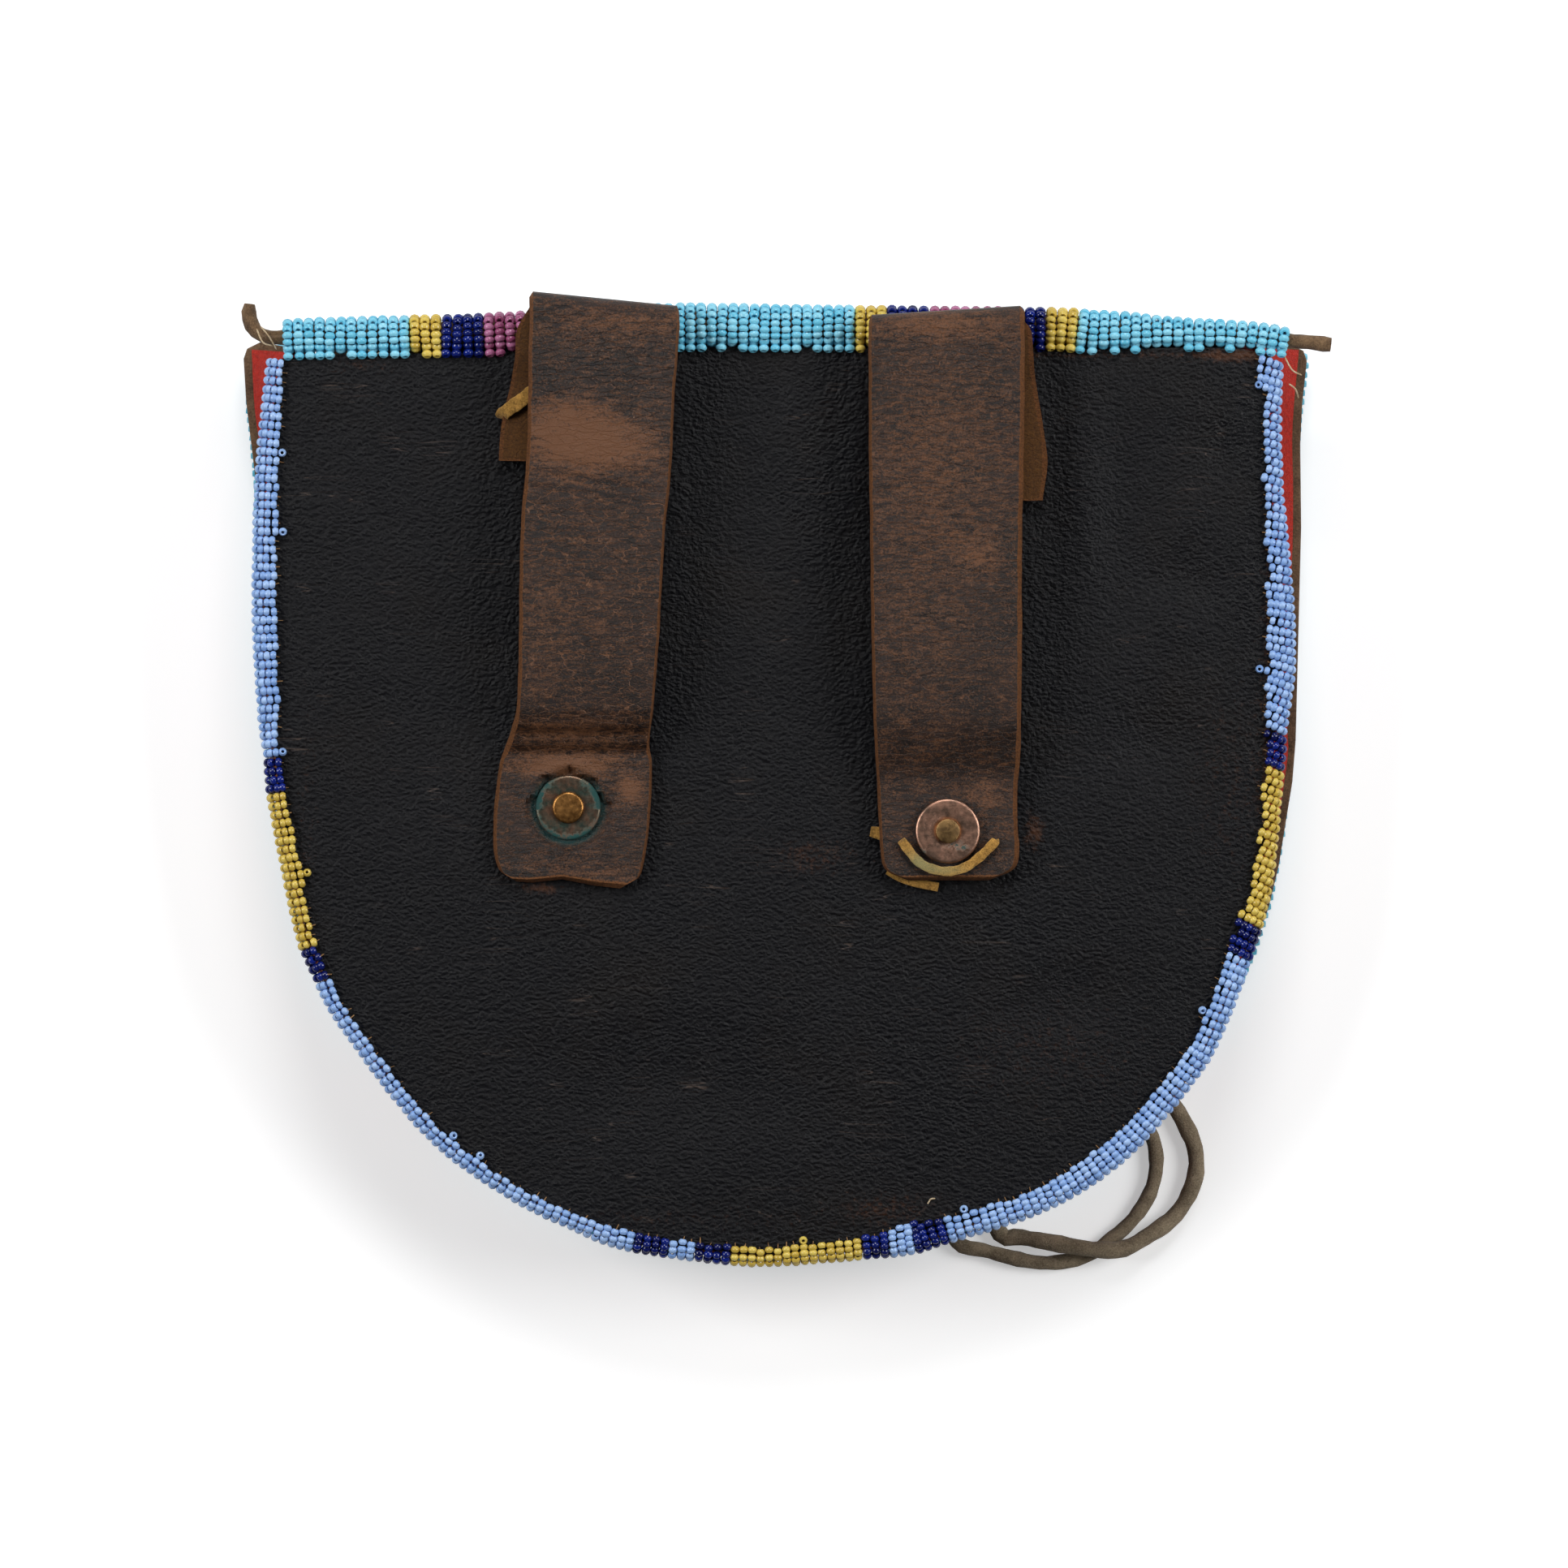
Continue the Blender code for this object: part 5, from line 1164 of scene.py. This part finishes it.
# Rivets and burrs: copper, driven from inside, each peened over a washer cut from sheet. The left
# one has sunk into wet leather and grown verdigris; the right one has kept its brown skin.
def copper(name, skin, bright, cloud=3.0):
    """Old copper: an oxide skin, brighter where belts rub it, a dull green crust in the corners."""
    made, place = start_material(name, {"Metallic": 1.0})
    clouds = speckle(place, cloud * MM, 6.0, 0.65)
    crust = speckle(place, 0.8 * MM, 6.0, 0.7)
    scores = speckle(stretched(place, 0.7, (0.1, 1, 1)), 0.35 * MM, 3.0)
    colour = tint(ramp(clouds, 0.38, 0.62), skin, bright)
    green = painted(place, "verdigris")
    spread = ramp(work_out("MULTIPLY_ADD", green, 0.8, crust), 0.72, 0.95)
    colour = tint(spread, colour, tint(crust, "052624", "124E4A"))
    metal = work_out("SUBTRACT", 1.0, spread)
    rough = work_out("MULTIPLY_ADD", spread, 0.4, ramp(crust, 0.3, 0.7, 0.3, 0.48))
    height = work_out("MULTIPLY_ADD", scores, 0.5, crust)
    return wire(made, Base_Color=colour, Metallic=metal, Roughness=rough,
                Normal=relief_from(height, 0.4, 0.1 * MM))


def turned(profile, centre, steps=64):
    """A closed ring or solid turned about an upright axis from (radius, level) corners."""
    made = bmesh.new()
    verts = [made.verts.new((centre.x + r, centre.y, z)) for r, z in profile]
    edges = [made.edges.new(pair) for pair in zip(verts, verts[1:] + verts[:1])]
    bmesh.ops.spin(made, geom=[*verts, *edges], cent=(centre.x, centre.y, 0), axis=(0, 0, 1),
                   angle=2 * math.pi, steps=steps, use_merge=True)
    bmesh.ops.remove_doubles(made, verts=made.verts, dist=1e-6)
    bmesh.ops.recalc_face_normals(made, faces=made.faces)
    return made


def left_burr_verdigris(x, y, z):
    """Green near the left washer's rim, below and at its upper corners."""
    across, upward = (x - LEFT_RIVET.x) / 6, (y - LEFT_RIVET.y) / 6
    rim = np.clip((6 * np.hypot(across, upward) - 4.3) / 0.7, 0, 1)
    return rim * np.where(upward < 0, 0.4 * (0.5 - upward), 0.75 * np.abs(across))


for side, skin, bright, end_skin, end_bright, peen in (
        ("left", "56645A", "8E6E5A", "7C562E", "B4824A", 2.95 * MM),
        ("right", "8A7060", "CC9C84", "7E6444", "B08C5C", 2.3 * MM)):
    burr_low, burr_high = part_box(side + "_burr")
    rivet_low, rivet_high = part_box(side + "_rivet")
    centre = (burr_low + burr_high) / 2
    radius = (burr_high.x - burr_low.x) / 2
    top = burr_high.z
    washer = turned([
        (0.38 * radius, burr_low.z), (0.97 * radius, burr_low.z), (radius, burr_low.z + 0.15 * MM),
        (radius, top - 0.35 * MM), (0.985 * radius, top - 0.15 * MM), (0.95 * radius, top - 0.02 * MM),
        (0.90 * radius, top), (0.7 * radius, top - 0.03 * MM), (0.5 * radius, top - 0.05 * MM),
        (0.42 * radius, top - 0.12 * MM), (0.38 * radius, top - 0.2 * MM)], centre)
    finish = copper(side + "_burr_copper", skin, bright)
    washer = make_piece(side + "_burr_copper", washer, finish, side + "_burr", crease=50)
    if side == "left":
        paint(washer, "verdigris", left_burr_verdigris)
    else:
        x, y = centre.x / MM, centre.y / MM
        paint(washer, "verdigris", patches([
            (x + 1.0, y - 2.6, 2.2, 0.8, 0.5), (x + 3, y - 3, 1.2, 1.6, 0.3),
            (x - 4.6, y - 4.0, 0.8, 1.6, 0.4)]))
    under, head, shank = panel_low.z - 0.3 * MM, rivet_low.z, 2.3 * MM
    end = rivet_high.z
    shaft = turned([
        (0, head), (3.2 * MM, head), (4.6 * MM, head + 0.15 * MM), (5.4 * MM, head + 0.5 * MM),
        (5.5 * MM, under), (shank, under), (shank, top - 0.1 * MM), (peen, top + 0.02 * MM),
        (peen * 1.01, end - 0.5 * MM), (0.96 * peen, end - 0.2 * MM), (0.85 * peen, end - 0.12 * MM),
        (0, end - 0.05 * MM)], centre, 48)
    finish = copper(side + "_rivet_copper", end_skin, end_bright, 1.5)
    make_piece(side + "_rivet_copper", shaft, finish, side + "_rivet", crease=50)


# Laces: flat strips of yellow buckskin. One holds the left back run, folded over its edge; one is
# drawn through the right strap and bowed round its burr, with its ends out below and to the left.
lace_buckskin = suede("yellow_buckskin_lace", "CC9A4C", "6E5022", nap=0.3, mottle=1.6, stain="7C8560")
lace_z = panel_high.z / MM + 0.9
left_lace = [
    (-53.2, 68.3, 0), (-53.0, 68.8, 1.3), (-52.0, 69.6, 2.75), (-50.0, 71.0, 2.6),
    (-46.4, 73.5, 2.6), (-40.4, 74.7, 3.2), (-33.4, 73.5, 3.2),
]
lace = bmesh.new()
sweep(lace, drawn(left_lace, 40, lace_z), cut_widths(40, 2.6 * MM), 0.6 * MM, sides=16, corners=0.4)
make_piece("left_lace_buckskin", lace, lace_buckskin, "left_lace")

over_strap = panel_high.z / MM + 4.9
right_lace = [
    (22.0, -11.4, -3.0), (22.1, -11.5, -1.0), (22.6, -12.2, -0.1),
    (24.9, -15.1, 0), (27.4, -16.6, 0), (30.7, -17.2, 0), (34.0, -16.4, 0),
    (36.9, -14.3, 0), (39.4, -11.8, -0.1), (39.6, -11.5, -1.0),
    (39.7, -11.4, -3.0),
]
tail = [(19.5, -17.0, 0), (21.5, -18.2, 0), (24.5, -19.3, 0), (29.0, -20.2, 0)]
stub = [(20.0, -10.4, 0), (17.8, -10.0, 0), (16.2, -9.7, 0)]
lace = bmesh.new()
sweep(lace, drawn(right_lace, 60, over_strap), cut_widths(60, 1.8 * MM), 0.7 * MM, sides=16, corners=0.4)
sweep(lace, drawn(tail, 20, lace_z), 1.7 * MM, 0.8 * MM, sides=16, corners=0.4)
sweep(lace, drawn(stub, 10, lace_z), np.linspace(3.2, 1.9, 10) * MM, 0.8 * MM, sides=16, corners=0.4)
lace = make_piece("right_lace_buckskin", lace, lace_buckskin, "right_lace")
paint(lace, "stained", patches([(25.5, -14.8, 3.0, 2.0, 0.7), (30.0, -16.4, 4.0, 1.0, 0.5)]))


# Floor and light: a plain white table, a soft light on either side and one behind the roll, all
# low enough that the leather doesn't mirror them into the camera.
floor_mesh = bmesh.new()
bmesh.ops.create_grid(floor_mesh, x_segments=1, y_segments=1, size=1.5)
floor = put("floor", mesh_from("floor", floor_mesh))
floor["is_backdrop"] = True
white, place = start_material(
    "white_table", {"Base Color": linear("E8E8E8"), "Roughness": 0.9, "Specular IOR Level": 0.1,
                    "Emission Color": (1, 1, 1, 1)})
seen = add_node(place, "LightPath").outputs["Is Camera Ray"]
wire(white, Emission_Strength=work_out("MULTIPLY", seen, 0.4))
floor.data.materials.append(white)

world = bpy.data.worlds.new("studio")
world.use_nodes = True
world.node_tree.nodes["Background"].inputs["Color"].default_value = (1, 1, 1, 1)
world.node_tree.nodes["Background"].inputs["Strength"].default_value = 0.07
scene.world = world
for name, place, size, power in (
        ("left_softbox", (-1.0, 0.25, 0.8), 0.6, 9.6), ("right_softbox", (1.0, 0.2, 0.8), 0.6, 9.6),
        ("back_softbox", (0.05, 1.0, 0.9), 0.5, 7.0)):
    lamp = bpy.data.lights.new(name, "AREA")
    lamp.size = size
    lamp.energy = power
    put(name, lamp, place).rotation_euler = (-Vector(place)).to_track_quat("-Z", "Y").to_euler()

scene.view_settings.view_transform = "Standard"
bpy.context.view_layer.update()
low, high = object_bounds()
